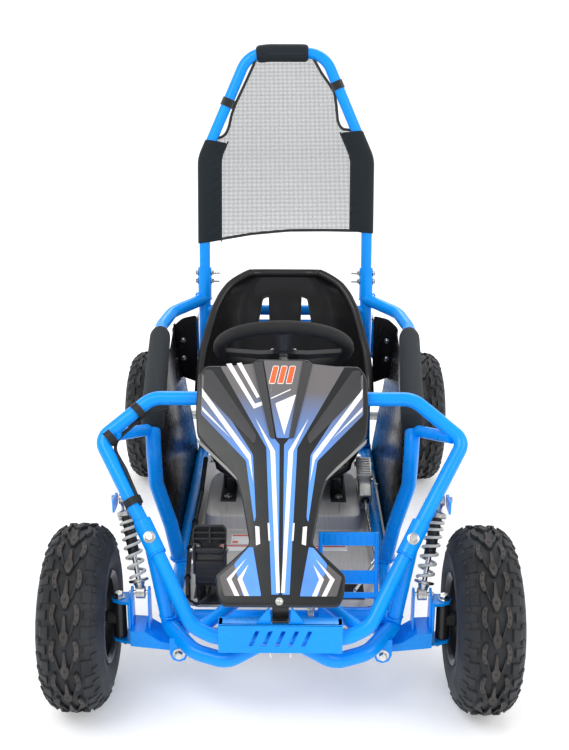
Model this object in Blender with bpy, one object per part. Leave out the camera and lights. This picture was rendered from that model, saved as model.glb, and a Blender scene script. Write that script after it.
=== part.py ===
"""Child's off-road mini kart: tubular frame, front suspension, live rear axle and electric drive.

Metres, +Z up.  The origin is on the ground, on the centre plane, midway between the axles.
The kart drives towards -Y, so the driver's left side is +X.  Run it with
blender --background --python part.py, or from Blender's text editor.
"""
import math

import bmesh
import bpy
from mathutils import Matrix, Vector

# ---- driving dimensions ------------------------------------------------------------------
WHEELBASE = 1.000
TRACK_FRONT = 0.710
TRACK_REAR = 0.690
TYRE_RADIUS = 0.165
TYRE_WIDTH = 0.120
RIM_RADIUS = 0.076              # bead seat of a six inch rim
RIM_WIDTH = 0.106
WHEEL_SIDES = 20                # a flat faces down, so the kart stands still
FRONT_AXLE_Y = -WHEELBASE / 2
REAR_AXLE_Y = WHEELBASE / 2
AXLE_Z = TYRE_RADIUS

GAP = 0.0004                    # between pieces that touch on the real kart
RUNNING_GAP = 0.0008            # between pieces that turn or slide on each other

RAIL_TUBE = 0.0140              # tube radii
HOOP_TUBE = 0.0127
SLEEVE_TUBE = 0.0160
CROSS_TUBE = 0.0110
TUBE_SIDES = 8
FACET = math.cos(math.pi / TUBE_SIDES)   # a tube's flat over its corner radius
BEND_STEPS = 3

RAIL_X = 0.196
RAIL_Z = 0.160
REAR_RAIL_Z = 0.235
FLOOR_Z = 0.1645                # underside of the floor sheet
FLOOR_THICK = 0.0025
STEP_Z = 0.200                  # top of the raised battery cover in the floor
STEP_FRONT_Y = -0.165
STEP_REAR_Y = 0.060
STEP_HALF_X = 0.160

ROLL_LEAN = math.radians(12.0)  # roll hoop leans back
ROLL_FOOT = (0.330, 0.450)      # y and z of a point on its centre line
ROLL_X = 0.191
ROLL_SPLIT_Z = 0.593            # top of the frame's socket
ROLL_TOP_Z = 1.086

LEG_TOP = Vector((0.318, -0.400, 0.463))      # front hoop corner, left side
LEG_FOOT = Vector((0.1505, -0.594, 0.204))    # same leg at the bumper
HOOP_Y = -0.350
HOOP_Z = 0.524
SLEEVE_TOP_Z = 0.347
SLEEVE_FOOT_Z = 0.302
PLATE_Y = -0.622
PLATE_Z = (0.170, 0.224)
PLATE_HALF_X = 0.104

COLUMN_TILT = math.radians(36.0)              # steering column from the vertical
WHEEL_CENTRE = Vector((0.0, -0.100, 0.549))
COLUMN_RADIUS = 0.0100
COLUMN_LENGTH = 0.549
STEERING_WHEEL_RADIUS = 0.129                 # to the middle of the rim
STEERING_RIM_TUBE = 0.0135
PITMAN_TIP = Vector((0.0, -0.392, 0.0880))     # between the tie rods' inner eyes
PITMAN_HALF_X = 0.020
PITMAN_DROP = 0.0105            # pitman plate's underside above the eyes' middle

ARM_PIVOT = Vector((0.178, FRONT_AXLE_Y, 0.122))
KINGPIN_X = 0.287
EAR_Z = (0.1240, 0.2020)                      # middle of the lower and upper ear
EAR_THICK = 0.005
SPINDLE_RADIUS = 0.0080
TIE_BALL = Vector((0.284, -0.450, 0.0860))
SHOCK_TOP = Vector((0.281, -0.430, 0.363))
SHOCK_FOOT = Vector((0.248, -0.500, 0.214))
SHOCK_EYE = 0.0120
SHOCK_EYE_BORE = 0.0085
SHOCK_BOLT = 0.0035
SPRING_RADIUS = 0.0153
SPRING_WIRE = 0.0026
SPRING_TURNS = 6
SPRING_SEAT_TOP = 0.031         # upper seat below the top eye
SPRING_SEAT_FOOT = 0.024        # lower seat above the bottom eye

REAR_AXLE_RADIUS = 0.0125
BEARING_OUTER = 0.0300
SPROCKET_X = 0.045
SPROCKET_RADIUS = 0.062
DISC_X = -0.060
DISC_RADIUS = 0.070
MOTOR_AXIS = Vector((SPROCKET_X, 0.328, 0.230))
MOTOR_RADIUS = 0.050
PINION_RADIUS = 0.015

CROSS_FRONT = (-0.484, 0.158)                 # y and z of the foremost cross tube
FLOOR_FRONT_Y = -0.466
BRAKE_PIVOT = Vector((0.1196, *CROSS_FRONT))
BRAKE_HALF_X = 0.050
BRAKE_LEAN = math.radians(15.0)
BRAKE_STUB_HEIGHT = 0.039                     # cross bar above the pivot, along the bars
CYLINDER_FRONT = Vector((0.1720, -0.100, 0.2060))
CYLINDER_TILT = math.radians(18.0)
THROTTLE_PIVOT = Vector((-0.130, -0.430, 0.2600))
THROTTLE_LEAN = math.radians(15.0)

BLUE = ("blue powder coat", (0.003, 0.250, 0.900), 0.30, 0.0)
BLACK_METAL = ("black powder coat", (0.012, 0.012, 0.013), 0.45, 0.0)
BLACK_PLASTIC = ("black plastic", (0.016, 0.016, 0.018), 0.50, 0.0)
RUBBER = ("rubber", (0.020, 0.020, 0.021), 0.80, 0.0)
FOAM = ("padded sleeve", (0.018, 0.020, 0.023), 0.90, 0.0)
MESH = ("net fabric", (0.250, 0.255, 0.260), 0.80, 0.0)
SHEET = ("floor sheet", (0.450, 0.440, 0.430), 0.45, 0.6)
STEEL = ("zinc plated steel", (0.620, 0.620, 0.600), 0.35, 1.0)
CHROME = ("chrome", (0.800, 0.800, 0.820), 0.10, 1.0)
ALLOY = ("cast alloy", (0.600, 0.600, 0.590), 0.40, 1.0)
SPRING_GREY = ("spring coating", (0.620, 0.630, 0.610), 0.40, 0.0)

X_AXIS = Vector((1, 0, 0))
Y_AXIS = Vector((0, 1, 0))
Z_AXIS = Vector((0, 0, 1))


# ---- scene, materials and finishing ------------------------------------------------------
def clear_scene():
    for old in list(bpy.data.objects):
        bpy.data.objects.remove(old, do_unlink=True)


def material(look):
    name, colour, roughness, metallic = look
    made = bpy.data.materials.get(name)
    if made is None:
        made = bpy.data.materials.new(name)
        made.use_nodes = True
        shader = made.node_tree.nodes["Principled BSDF"]
        shader.inputs["Base Color"].default_value = (*colour, 1.0)
        shader.inputs["Roughness"].default_value = roughness
        shader.inputs["Metallic"].default_value = metallic
    return made


def new_object(name, bm):
    bmesh.ops.recalc_face_normals(bm, faces=bm.faces)
    mesh = bpy.data.meshes.new(name)
    bm.to_mesh(mesh)
    bm.free()
    made = bpy.data.objects.new(name, mesh)
    bpy.context.collection.objects.link(made)
    return made


def evaluated_mesh(obj):
    bpy.context.view_layer.update()
    graph = bpy.context.evaluated_depsgraph_get()
    return bpy.data.meshes.new_from_object(obj.evaluated_get(graph))


def boolean(target, tools, operation):
    """Join or cut target with every tool, then drop the tools."""
    for tool in tools:
        step = target.modifiers.new("step", "BOOLEAN")
        step.operation = operation
        step.solver = "EXACT"
        step.object = tool
    target.data = evaluated_mesh(target)
    target.modifiers.clear()
    for tool in tools:
        bpy.data.objects.remove(tool, do_unlink=True)
    return target


def join(pieces):
    return boolean(pieces[0], pieces[1:], "UNION")


def cut(target, tools):
    return boolean(target, tools, "DIFFERENCE")


def finish(name, obj, look, origin=(0, 0, 0)):
    """Name the sub-part, give it its material, and put its origin on its joint axis."""
    obj.name = name
    obj.data.name = name
    obj.data.transform(Matrix.Translation(-Vector(origin)))
    obj.location = origin
    obj.data.materials.clear()
    obj.data.materials.append(material(look))
    obj.data.shade_smooth()
    obj.data.set_sharp_from_angle(angle=math.radians(40))
    return obj


# ---- shapes ------------------------------------------------------------------------------
def mirrored(point, side):
    return Vector((side * point[0], point[1], point[2]))


def frame_about(axis):
    """Two unit vectors square to the axis, the first as level as it can be."""
    axis = Vector(axis).normalized()
    level = axis.cross(Z_AXIS if abs(axis.z) < 0.9 else Y_AXIS).normalized()
    return level, axis.cross(level)


def skin(rings, closed=False):
    """Join equal rings of points into one closed solid."""
    bm = bmesh.new()
    loops = [[bm.verts.new(p) for p in ring] for ring in rings]
    count = len(rings[0])
    pairs = list(zip(loops, loops[1:])) + ([(loops[-1], loops[0])] if closed else [])
    for low, high in pairs:
        for i in range(count):
            j = (i + 1) % count
            bm.faces.new((low[i], low[j], high[j], high[i]))
    if not closed:
        bm.faces.new(reversed(loops[0]))
        bm.faces.new(loops[-1])
    return bm


def circle(centre, across, up, radius, sides, phase=0.5):
    turn = [2 * math.pi * (i + phase) / sides for i in range(sides)]
    return [Vector(centre) + radius * (math.cos(t) * across + math.sin(t) * up) for t in turn]


def rounded_path(points, radius, steps=BEND_STEPS):
    """A polyline whose inner corners are replaced by arcs."""
    points = [Vector(p) for p in points]
    path = [points[0]]
    for before, corner, after in zip(points, points[1:], points[2:]):
        back = (before - corner).normalized()
        ahead = (after - corner).normalized()
        half = math.acos(max(-1.0, min(1.0, back.dot(ahead)))) / 2
        if half > math.radians(88):
            path.append(corner)
            continue
        reach = radius / math.tan(half)
        reach = min(reach, 0.45 * (before - corner).length, 0.45 * (after - corner).length)
        middle = corner + (back + ahead).normalized() * reach / math.cos(half)
        start = corner + back * reach - middle
        end = corner + ahead * reach - middle
        sweep = start.angle(end)
        for i in range(steps + 1):
            t = i / steps
            arc = (math.sin((1 - t) * sweep) * start + math.sin(t * sweep) * end) / math.sin(sweep)
            path.append(middle + arc)
    path.append(points[-1])
    return path


def sweep(path, radius, sides=TUBE_SIDES, closed=False):
    """Rings of a round tube along a path, without twist."""
    rings = []
    count = len(path)
    across = None
    for i, point in enumerate(path):
        before = path[i - 1] if closed or i else point
        after = path[(i + 1) % count] if closed or i < count - 1 else point
        tangent = (after - before).normalized()
        if across is None:
            across = frame_about(tangent)[0]
        across = (across - tangent * across.dot(tangent)).normalized()
        rings.append(circle(point, across, tangent.cross(across), radius, sides))
    return skin(rings, closed)


def tube(points, radius, bend=0.05, sides=TUBE_SIDES, steps=BEND_STEPS):
    return new_object("tube", sweep(rounded_path(points, bend, steps), radius, sides))


def rod(start, end, radius, sides=TUBE_SIDES):
    start, end = Vector(start), Vector(end)
    across, up = frame_about(end - start)
    rings = [circle(p, across, up, radius, sides) for p in (start, end)]
    return new_object("rod", skin(rings))


def lathe(centre, axis, profile, sides=16, closed=False):
    """Turn (distance along axis, radius) points about an axis; closed joins last to first."""
    axis = Vector(axis).normalized()
    across, up = frame_about(axis)
    rings = [circle(Vector(centre) + axis * d, across, up, r, sides) for d, r in profile]
    return new_object("lathe", skin(rings, closed))


def box(low, high):
    low, high = Vector(low), Vector(high)
    bm = bmesh.new()
    bmesh.ops.create_cube(bm, size=1.0)
    size = Matrix.Diagonal((*(high - low), 1.0))
    bmesh.ops.transform(bm, matrix=Matrix.Translation((low + high) / 2) @ size, verts=bm.verts)
    return new_object("box", bm)


def turned_box(centre, size, axis, angle):
    made = box(-Vector(size) / 2, Vector(size) / 2)
    made.data.transform(Matrix.Translation(Vector(centre)) @ Matrix.Rotation(angle, 4, axis))
    return made


def prism(outline, thickness):
    """A plate: the outline is its first face, and thickness its offset to the second."""
    offset = Vector(thickness)
    points = [Vector(p) for p in outline]
    return new_object("plate", skin([points, [p + offset for p in points]]))


def side_plate(x, width, outline):
    """A plate lying in a plane square to X; its outline is in y and z."""
    return prism([(x - width / 2, y, z) for y, z in outline], (width, 0, 0))


# ---- shared geometry ---------------------------------------------------------------------
def roll_point(x, z):
    return Vector((x, ROLL_FOOT[0] + math.tan(ROLL_LEAN) * (z - ROLL_FOOT[1]), z))


def leg_point(z, side=1):
    """A point on the centre line of the front hoop's leg."""
    t = (LEG_TOP.z - z) / (LEG_TOP.z - LEG_FOOT.z)
    return mirrored(LEG_TOP.lerp(LEG_FOOT, t), side)


def column_point(distance):
    """A point on the steering axis, measured down from the steering wheel."""
    down = Vector((0, -math.sin(COLUMN_TILT), -math.cos(COLUMN_TILT)))
    return WHEEL_CENTRE + down * distance


def column_axis():
    return (column_point(0) - column_point(1)).normalized()


def panel_y(z):
    """The nose panel's front plane."""
    return -0.330 - (0.590 - z) / 1.13


def cylinder_axis():
    return Vector((0, math.cos(CYLINDER_TILT), math.sin(CYLINDER_TILT)))


# ---- frame -------------------------------------------------------------------------------
def rail(side):
    path = [(0.196, 0.600, REAR_RAIL_Z), (0.196, 0.450, REAR_RAIL_Z), (0.196, 0.350, RAIL_Z),
            (0.196, -0.380, RAIL_Z), (0.201, -0.510, 0.157), (0.150, -0.575, 0.142),
            (0.092, -0.592, 0.134), (0.040, -0.592, 0.166)]
    return tube([mirrored(p, side) for p in path], RAIL_TUBE, 0.05)


def front_loop():
    """Bent tube from one sleeve down behind the bumper plate and up to the other sleeve."""
    path = [leg_point(SLEEVE_FOOT_Z + 0.006), LEG_FOOT, (0.112, -0.605, 0.190)]
    left = [Vector(p) for p in path]
    right = [mirrored(p, -1) for p in reversed(left)]
    return tube(left + right, HOOP_TUBE, 0.045)


def sleeve(side):
    start = leg_point(SLEEVE_TOP_Z, side)
    return rod(start, leg_point(SLEEVE_FOOT_Z, side), SLEEVE_TUBE)


def side_tube(side):
    path = [roll_point(0.188, 0.522), (0.262, 0.275, 0.506), (0.281, 0.205, 0.492),
            (0.245, -0.270, 0.462), (0.240, -0.318, 0.420), (0.239, -0.305, 0.335),
            (0.214, -0.300, 0.245), (0.200, -0.300, 0.172)]
    return tube([mirrored(p, side) for p in path], RAIL_TUBE, 0.06, steps=2)


def tower(side):
    """Upright from the sleeve to the lower rail, in front of the suspension arm."""
    top = leg_point(SLEEVE_FOOT_Z + 0.012, side) + Vector((side * 0.004, 0.006, 0))
    return rod(top, (side * 0.200, -0.506, 0.158), 0.0125)


def arm_bracket(side, y):
    """Lug under the rail that carries the suspension arm's pivot pin."""
    low = ARM_PIVOT.z - 0.015
    plate = box((side * 0.178 - 0.016, y - 0.003, low), (side * 0.178 + 0.016, y + 0.003, 0.152))
    hole = rod((side * ARM_PIVOT.x, y - 0.01, ARM_PIVOT.z), (side * ARM_PIVOT.x, y + 0.01, ARM_PIVOT.z),
               0.0050 + GAP)
    return cut(plate, [hole])


def bearing_shelf(side):
    x = side * RAIL_X
    return box((x - 0.021, REAR_AXLE_Y - 0.045, 0.2165), (x + 0.021, REAR_AXLE_Y + 0.045, 0.2235))


def socket_cutters():
    """Bores of the two roll hoop sockets and the two front sleeves."""
    tools = []
    for side in (-1, 1):
        tools.append(rod(roll_point(side * ROLL_X, 0.535), roll_point(side * ROLL_X, 0.640),
                         (HOOP_TUBE + GAP) / FACET))
        tools.append(rod(leg_point(0.400, side), leg_point(SLEEVE_FOOT_Z + 0.012, side),
                         (HOOP_TUBE + GAP) / FACET))
    return tools + [hoop_tube((HOOP_TUBE + GAP) / FACET, 0.420)]


def main_frame():
    pieces = [front_loop()]
    for side in (-1, 1):
        pieces += [rail(side), sleeve(side), side_tube(side), tower(side), bearing_shelf(side)]
        pieces.append(rod(roll_point(side * ROLL_X, RAIL_Z), roll_point(side * ROLL_X, 0.530), RAIL_TUBE))
        pieces.append(rod(roll_point(side * ROLL_X, 0.520), roll_point(side * ROLL_X, ROLL_SPLIT_Z),
                          SLEEVE_TUBE))
        pieces.append(tube([roll_point(side * ROLL_X, 0.440), (side * 0.194, 0.560, 0.330),
                            (side * 0.196, 0.590, REAR_RAIL_Z)], CROSS_TUBE, 0.05))
        pieces.append(rod((side * 0.302, -0.394, 0.468), (side * 0.247, -0.296, 0.442), CROSS_TUBE))
        pieces.append(tube([(side * 0.140, -0.598, 0.197), (side * 0.045, -0.500, 0.226),
                            (side * 0.016, -0.345, 0.212)], CROSS_TUBE, 0.05))
        pieces.append(box((side * 0.1755 - 0.009, -0.380, 0.1520), (side * 0.1755 + 0.009, -0.340, 0.1640)))
        pieces += [arm_bracket(side, y) for y in (-0.549, -0.451)]
    for y, z in (CROSS_FRONT, (-0.190, 0.152), (0.085, 0.152), (0.290, 0.158), (0.345, 0.158),
                 (0.588, REAR_RAIL_Z)):
        pieces.append(rod((-RAIL_X, y, z), (RAIL_X, y, z), CROSS_TUBE))
    for z in (0.494, 0.461):
        pieces.append(rod(roll_point(-ROLL_X, z), roll_point(ROLL_X, z), 0.0120))
    for x in (-0.070, 0.070):
        pieces.append(rod((x, 0.2612, 0.445), roll_point(x, 0.461), 0.0070))
    pieces += bumper_plate()
    pieces.append(rod(column_point(0.395), column_point(0.440), 0.0180))
    pieces.append(box((-0.118, 0.270, 0.1660), (0.020, 0.390, 0.1700)))
    pieces.append(box((-0.104, 0.360, 0.1500), (-0.0905, 0.470, 0.1680)))
    frame = join(pieces)
    steering_bore = rod(column_point(0.380), column_point(0.455), (COLUMN_RADIUS + RUNNING_GAP) / FACET)
    return finish("main_frame", cut(frame, socket_cutters() + [steering_bore]), BLUE)


def bumper_plate():
    """Front plate with slanted slots, folded back along its top edge, and its nose gussets."""
    low, high = PLATE_Z
    face = box((-PLATE_HALF_X, PLATE_Y, low), (PLATE_HALF_X, PLATE_Y + 0.0035, high))
    slots = []
    for i in range(5):
        x = -0.044 + 0.022 * i
        outline = [(x - 0.009, 0.184), (x - 0.003, 0.184), (x + 0.009, 0.211), (x + 0.003, 0.211)]
        slots.append(prism([(u, PLATE_Y - 0.01, w) for u, w in outline], (0, 0.03, 0)))
    cut(face, slots)
    fold = box((-PLATE_HALF_X, PLATE_Y + 0.001, high - 0.0035), (PLATE_HALF_X, PLATE_Y + 0.026, high))
    ends = [box((side * 0.100 - 0.004, PLATE_Y + 0.001, low), (side * 0.100 + 0.004, -0.600, high))
            for side in (-1, 1)]
    return [face, fold] + ends


def hoop_tube(radius, foot_z):
    left = [leg_point(foot_z), LEG_TOP, (0.2350, HOOP_Y, HOOP_Z)]
    path = left + [mirrored(p, -1) for p in reversed(left)]
    return tube(path, radius, 0.04)


def front_hoop():
    """Removable dash hoop whose legs slide into the frame's sleeves, with shock brackets."""
    pieces = [hoop_tube(HOOP_TUBE, SLEEVE_FOOT_Z + 0.014)]
    for side in (-1, 1):
        pieces += shock_bracket(side)
        inner = column_point(0.165) + Vector((side * 0.008, 0, 0))
        pieces.append(rod((side * 0.100, HOOP_Y, HOOP_Z), inner, 0.0080))
        pieces.append(box((side * 0.130 - 0.012, HOOP_Y - 0.031, HOOP_Z - 0.012),
                          (side * 0.130 + 0.012, HOOP_Y, HOOP_Z + 0.004)))
    pieces.append(rod(column_point(0.145), column_point(0.185), 0.0175))
    hoop = join(pieces)
    bore = rod(column_point(0.130), column_point(0.200), (COLUMN_RADIUS + RUNNING_GAP) / FACET)
    return finish("front_hoop", cut(hoop, [bore]), BLUE)


def shock_bracket(side):
    """Two lugs and their web behind the hoop's leg, with the bolt through the shock's top eye."""
    x, y, z = mirrored(SHOCK_TOP, side)
    outline = [(y - 0.038, z - 0.010), (y + 0.004, z - 0.008), (y + 0.009, z), (y + 0.004, z + 0.009),
               (y - 0.038, z + 0.012)]
    plates = [side_plate(x + d, 0.0035, outline) for d in (-0.0135, 0.0135)]
    web = box((x - 0.0145, y - 0.037, z - 0.010), (x + 0.0145, y - 0.031, z + 0.012))
    bolt = rod((x - 0.020, y, z), (x + 0.020, y, z), SHOCK_BOLT, 8)
    return plates + [web, bolt]


def roll_hoop():
    path = [roll_point(ROLL_X, 0.5365), roll_point(ROLL_X, 0.843), roll_point(0.087, ROLL_TOP_Z)]
    path += [Vector((-p.x, p.y, p.z)) for p in reversed(path)]
    return finish("roll_hoop", tube(path, HOOP_TUBE, 0.06, steps=4), BLUE)


def floor_pan():
    """Floor sheet with the raised battery cover pressed into it."""
    top = FLOOR_Z + FLOOR_THICK
    x = RAIL_X - RAIL_TUBE - 0.0006
    sheet = box((-x, FLOOR_FRONT_Y, FLOOR_Z), (x, 0.225, top))
    raised = box((-STEP_HALF_X, STEP_FRONT_Y, FLOOR_Z + 0.001), (STEP_HALF_X, STEP_REAR_Y, STEP_Z))
    hollow = box((-STEP_HALF_X + FLOOR_THICK, STEP_FRONT_Y + FLOOR_THICK, FLOOR_Z - 0.01),
                 (STEP_HALF_X - FLOOR_THICK, STEP_REAR_Y - FLOOR_THICK, STEP_Z - FLOOR_THICK))
    posts = [rod((side * (RAIL_X - 0.006), -0.300, 0.14), (side * (RAIL_X - 0.006), -0.300, 0.30), 0.018)
             for side in (-1, 1)]
    opening = box((-0.028, -0.480, 0.14), (0.028, -0.345, 0.20))
    return finish("floor_pan", cut(join([sheet, raised]), [hollow, opening] + posts), SHEET)


def nose_outline(inset=0.0):
    """Outline of the nose panel, left half from the top down, then the right half back up."""
    half = [(0.050, 0.596), (0.060, 0.582), (0.136, 0.580), (0.149, 0.560), (0.149, 0.492),
            (0.140, 0.478), (0.076, 0.412), (0.053, 0.343), (0.104, 0.297), (0.094, 0.258)]
    half = [(max(x - inset, 0.010), z) for x, z in half]
    whole = half + [(-x, z) for x, z in reversed(half)]
    return [(x, panel_y(z), z) for x, z in whole]


def nose_panel():
    """Moulded nose panel: a tray open at the back, with folded skirts."""
    back = Vector((0, 0.0105, -0.0093))
    shell = prism(nose_outline(), back)
    inner = prism([Vector(p) + back * 0.2 for p in nose_outline(0.003)], back)
    return finish("nose_panel", cut(shell, [inner]), BLACK_PLASTIC)


def nose_bracket():
    """Bent strip from the bumper's fold up to the foot of the nose panel."""
    y, z = panel_y(0.258), 0.258
    foot = PLATE_Y + 0.004
    strip = [box((-0.014, foot, PLATE_Z[1] + GAP), (0.014, -0.598, PLATE_Z[1] + 0.004)),
             box((-0.014, -0.6035, PLATE_Z[1] + GAP), (0.014, -0.5995, z + 0.006)),
             box((-0.014, -0.6035, z + 0.002), (0.014, y + 0.022, z + 0.006))]
    return finish("nose_bracket", join(strip), BLACK_METAL)


# ---- seat and covers ---------------------------------------------------------------------
SEAT_SPINE = ((-0.105, 0.262), (-0.050, 0.246), (0.040, 0.238), (0.130, 0.246), (0.195, 0.285),
              (0.228, 0.360), (0.250, 0.440), (0.268, 0.520), (0.284, 0.598))
SEAT_HALF_WIDTH = (0.130, 0.150, 0.168, 0.178, 0.184, 0.184, 0.176, 0.145, 0.078)
SEAT_WING = (0.030, 0.055, 0.085, 0.120, 0.160, 0.150, 0.110, 0.060, 0.016)


def seat_section(index, offset):
    """One cross-section of the bucket, from the right wing across the spine to the left wing."""
    y, z = SEAT_SPINE[index]
    ahead = SEAT_SPINE[min(index + 1, len(SEAT_SPINE) - 1)]
    behind = SEAT_SPINE[max(index - 1, 0)]
    along = Vector((0, ahead[0] - behind[0], ahead[1] - behind[1])).normalized()
    inward = Vector((0, -along.z, along.y))
    half, wing = SEAT_HALF_WIDTH[index], SEAT_WING[index]
    points = []
    for t in (-1.0, -0.93, -0.80, -0.55, 0.0, 0.55, 0.80, 0.93, 1.0):
        rise = wing * max(0.0, (abs(t) - 0.55) / 0.45) ** 1.6
        reach = math.copysign(min(abs(t) / 0.93, 1.0), t) * (half + offset)
        points.append(Vector((reach, y, z)) + inward * (rise - offset))
    return points


def seat_shell():
    """Moulded bucket seat with rolled-out wings and two harness slots."""
    thick = 0.006
    count = len(SEAT_SPINE)
    inner = [seat_section(i, 0.0) for i in range(count)]
    outer = [seat_section(i, thick) for i in range(count)]
    rings = [a + list(reversed(b)) for a, b in zip(inner, outer)]
    seat = new_object("seat", skin(rings))
    slots = []
    for side in (-1, 1):
        outline = [(0.036, 0.545), (0.052, 0.540), (0.062, 0.486), (0.034, 0.486)]
        slots.append(prism([(side * x, 0.20, z) for x, z in outline], (0, 0.16, 0)))
    return finish("seat_shell", cut(seat, slots), BLACK_PLASTIC)


def seat_mount():
    """Two channel rails on the battery cover, tied together under the seat."""
    pieces = []
    for side in (-1, 1):
        x = side * 0.116
        pieces.append(box((x - 0.016, -0.100, STEP_Z + GAP), (x + 0.016, 0.052, STEP_Z + 0.010)))
        pieces.append(box((x - 0.012, -0.040, STEP_Z + 0.008), (x + 0.012, 0.052, STEP_Z + 0.0314)))
    pieces.append(box((-0.122, 0.010, STEP_Z + 0.010), (0.122, 0.045, STEP_Z + 0.018)))
    return finish("seat_mount", join(pieces), BLACK_METAL)


def roll_net():
    """See-through net sewn to padded sleeves that wrap the roll hoop."""
    bore = HOOP_TUBE + 0.0010
    sheet = [roll_point(x, z) for x, z in ((0.178, 0.662), (0.178, 0.846), (0.074, ROLL_TOP_Z))]
    outline = sheet + [Vector((-p.x, p.y, p.z)) for p in reversed(sheet)]
    back = Vector((0, 0.0030, -0.0006))
    pieces = [prism([p - back / 2 for p in outline], back)]
    for side, low, high in ((-1, 0.648, 0.868), (1, 0.672, 0.868)):
        pieces.append(rod(roll_point(side * ROLL_X, low), roll_point(side * ROLL_X, high), 0.0235))
    pieces.append(rod(roll_point(-0.062, ROLL_TOP_Z), roll_point(0.050, ROLL_TOP_Z), 0.0235))
    net = join(pieces)
    path = [roll_point(ROLL_X, 0.600), roll_point(ROLL_X, 0.843), roll_point(0.087, ROLL_TOP_Z)]
    path += [Vector((-p.x, p.y, p.z)) for p in reversed(path)]
    return finish("roll_net", cut(net, [tube(path, bore, 0.06, steps=4)]), FOAM)


def side_guard(side, name):
    """Panel that closes the space between the lower rail and the side tube."""
    outline = [(0.286, 0.178), (-0.262, 0.178), (-0.272, 0.330), (-0.262, 0.420), (0.180, 0.452),
               (0.290, 0.470), (0.306, 0.400)]
    lean = 0.16
    points = [(side * (0.2125 + lean * (z - 0.178)), y, z) for y, z in outline]
    sheet = prism(points, (side * 0.003, 0, 0))
    flange = box((side * 0.2400 - 0.022, 0.270, 0.380), (side * 0.2400 + 0.022, 0.274, 0.455))
    return finish(name, join([sheet, flange]), BLACK_PLASTIC)


def side_pad(side, name):
    """Foam sleeve round the side tube."""
    points = [mirrored((0.281, 0.205, 0.492), side), mirrored((0.245, -0.270, 0.462), side)]
    start = points[0].lerp(points[1], 0.10)
    end = points[0].lerp(points[1], 0.965)
    along = (end - start).normalized()
    sleeve_body = rod(start, end, 0.0245)
    bore = rod(start - along * 0.02, end + along * 0.02, (RAIL_TUBE + GAP) / FACET)
    return finish(name, cut(sleeve_body, [bore]), FOAM)


# ---- battery and drive -------------------------------------------------------------------
def battery_box():
    top = STEP_Z - FLOOR_THICK - GAP
    low = 0.098
    body = box((-0.152, -0.1625 + 0.003, low), (0.152, 0.052, top))
    notch = [box((-0.20, -0.203, 0.139), (0.20, -0.1785, 0.165))]
    for side in (-1, 1):
        x = side * 0.076
        notch.append(box((x - 0.002, -0.20, low - 0.01), (x + 0.002, 0.10, low + 0.004)))
    return finish("battery_box", cut(body, notch), BLACK_PLASTIC)


def controller():
    """Finned motor controller behind the battery, under the seat."""
    body = box((-0.060, 0.105, FLOOR_Z + FLOOR_THICK + GAP), (0.060, 0.170, 0.196))
    grooves = [box((-0.052 + 0.024 * i, 0.10, 0.190), (-0.042 + 0.024 * i, 0.18, 0.21)) for i in range(5)]
    return finish("controller", cut(body, grooves), ALLOY)


def motor():
    """Electric motor on its foot, with the output shaft towards the chain line."""
    y, z = MOTOR_AXIS.y, MOTOR_AXIS.z
    body = lathe((-0.100, y, z), X_AXIS, ((0, 0.030), (0.006, 0.046), (0.012, MOTOR_RADIUS),
                                          (0.104, MOTOR_RADIUS), (0.110, 0.046), (0.116, 0.024),
                                          (0.1255, 0.020)), 20)
    foot = box((-0.092, y - 0.040, 0.1700 + GAP), (0.010, y + 0.040, z - 0.036))
    shaft = rod((0.010, y, z), (0.058, y, z), 0.0060)
    return finish("motor", join([body, foot, shaft]), BLACK_METAL)


def sprocket(name, axis_point, x, radius, teeth, bore, thick, look):
    """Toothed wheel about an X axis."""
    ring = []
    for i in range(teeth * 2):
        turn = math.pi * i / teeth
        reach = radius if i % 2 == 0 else radius - 0.0035
        ring.append(Vector((x - thick / 2, axis_point[1] + reach * math.cos(turn),
                            axis_point[2] + reach * math.sin(turn))))
    plate = prism(ring, (thick, 0, 0))
    hub = rod((x - 0.011, axis_point[1], axis_point[2]), (x + 0.011, axis_point[1], axis_point[2]),
              bore + 0.0065)
    hole = rod((x - 0.03, axis_point[1], axis_point[2]), (x + 0.03, axis_point[1], axis_point[2]),
               bore + GAP, 16)
    body = cut(join([plate, hub]), [hole])
    return finish(name, body, look, (x, axis_point[1], axis_point[2]))


def chain():
    """Roller chain as a closed band round both sprockets, just clear of their teeth."""
    big = Vector((SPROCKET_X, REAR_AXLE_Y, AXLE_Z))
    small = MOTOR_AXIS.copy()
    clear = 0.0022
    r_big, r_small = SPROCKET_RADIUS + clear, PINION_RADIUS + clear
    between = small - big
    base = math.atan2(between.z, between.y)
    lean = math.acos((r_big - r_small) / between.length)
    path = []
    for centre, radius, start, end, count in ((big, r_big, base + lean, base + 2 * math.pi - lean, 14),
                                              (small, r_small, base - lean, base + lean, 7)):
        for i in range(count + 1):
            turn = start + (end - start) * i / count
            path.append((centre, radius, turn))
    rings = []
    for centre, radius, turn in path:
        out = Vector((0, math.cos(turn), math.sin(turn)))
        inner = centre + out * radius
        outer = centre + out * (radius + 0.007)
        half = X_AXIS * 0.0045
        rings.append([inner - half, inner + half, outer + half, outer - half])
    return finish("chain", new_object("chain", skin(rings, True)), STEEL)


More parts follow.
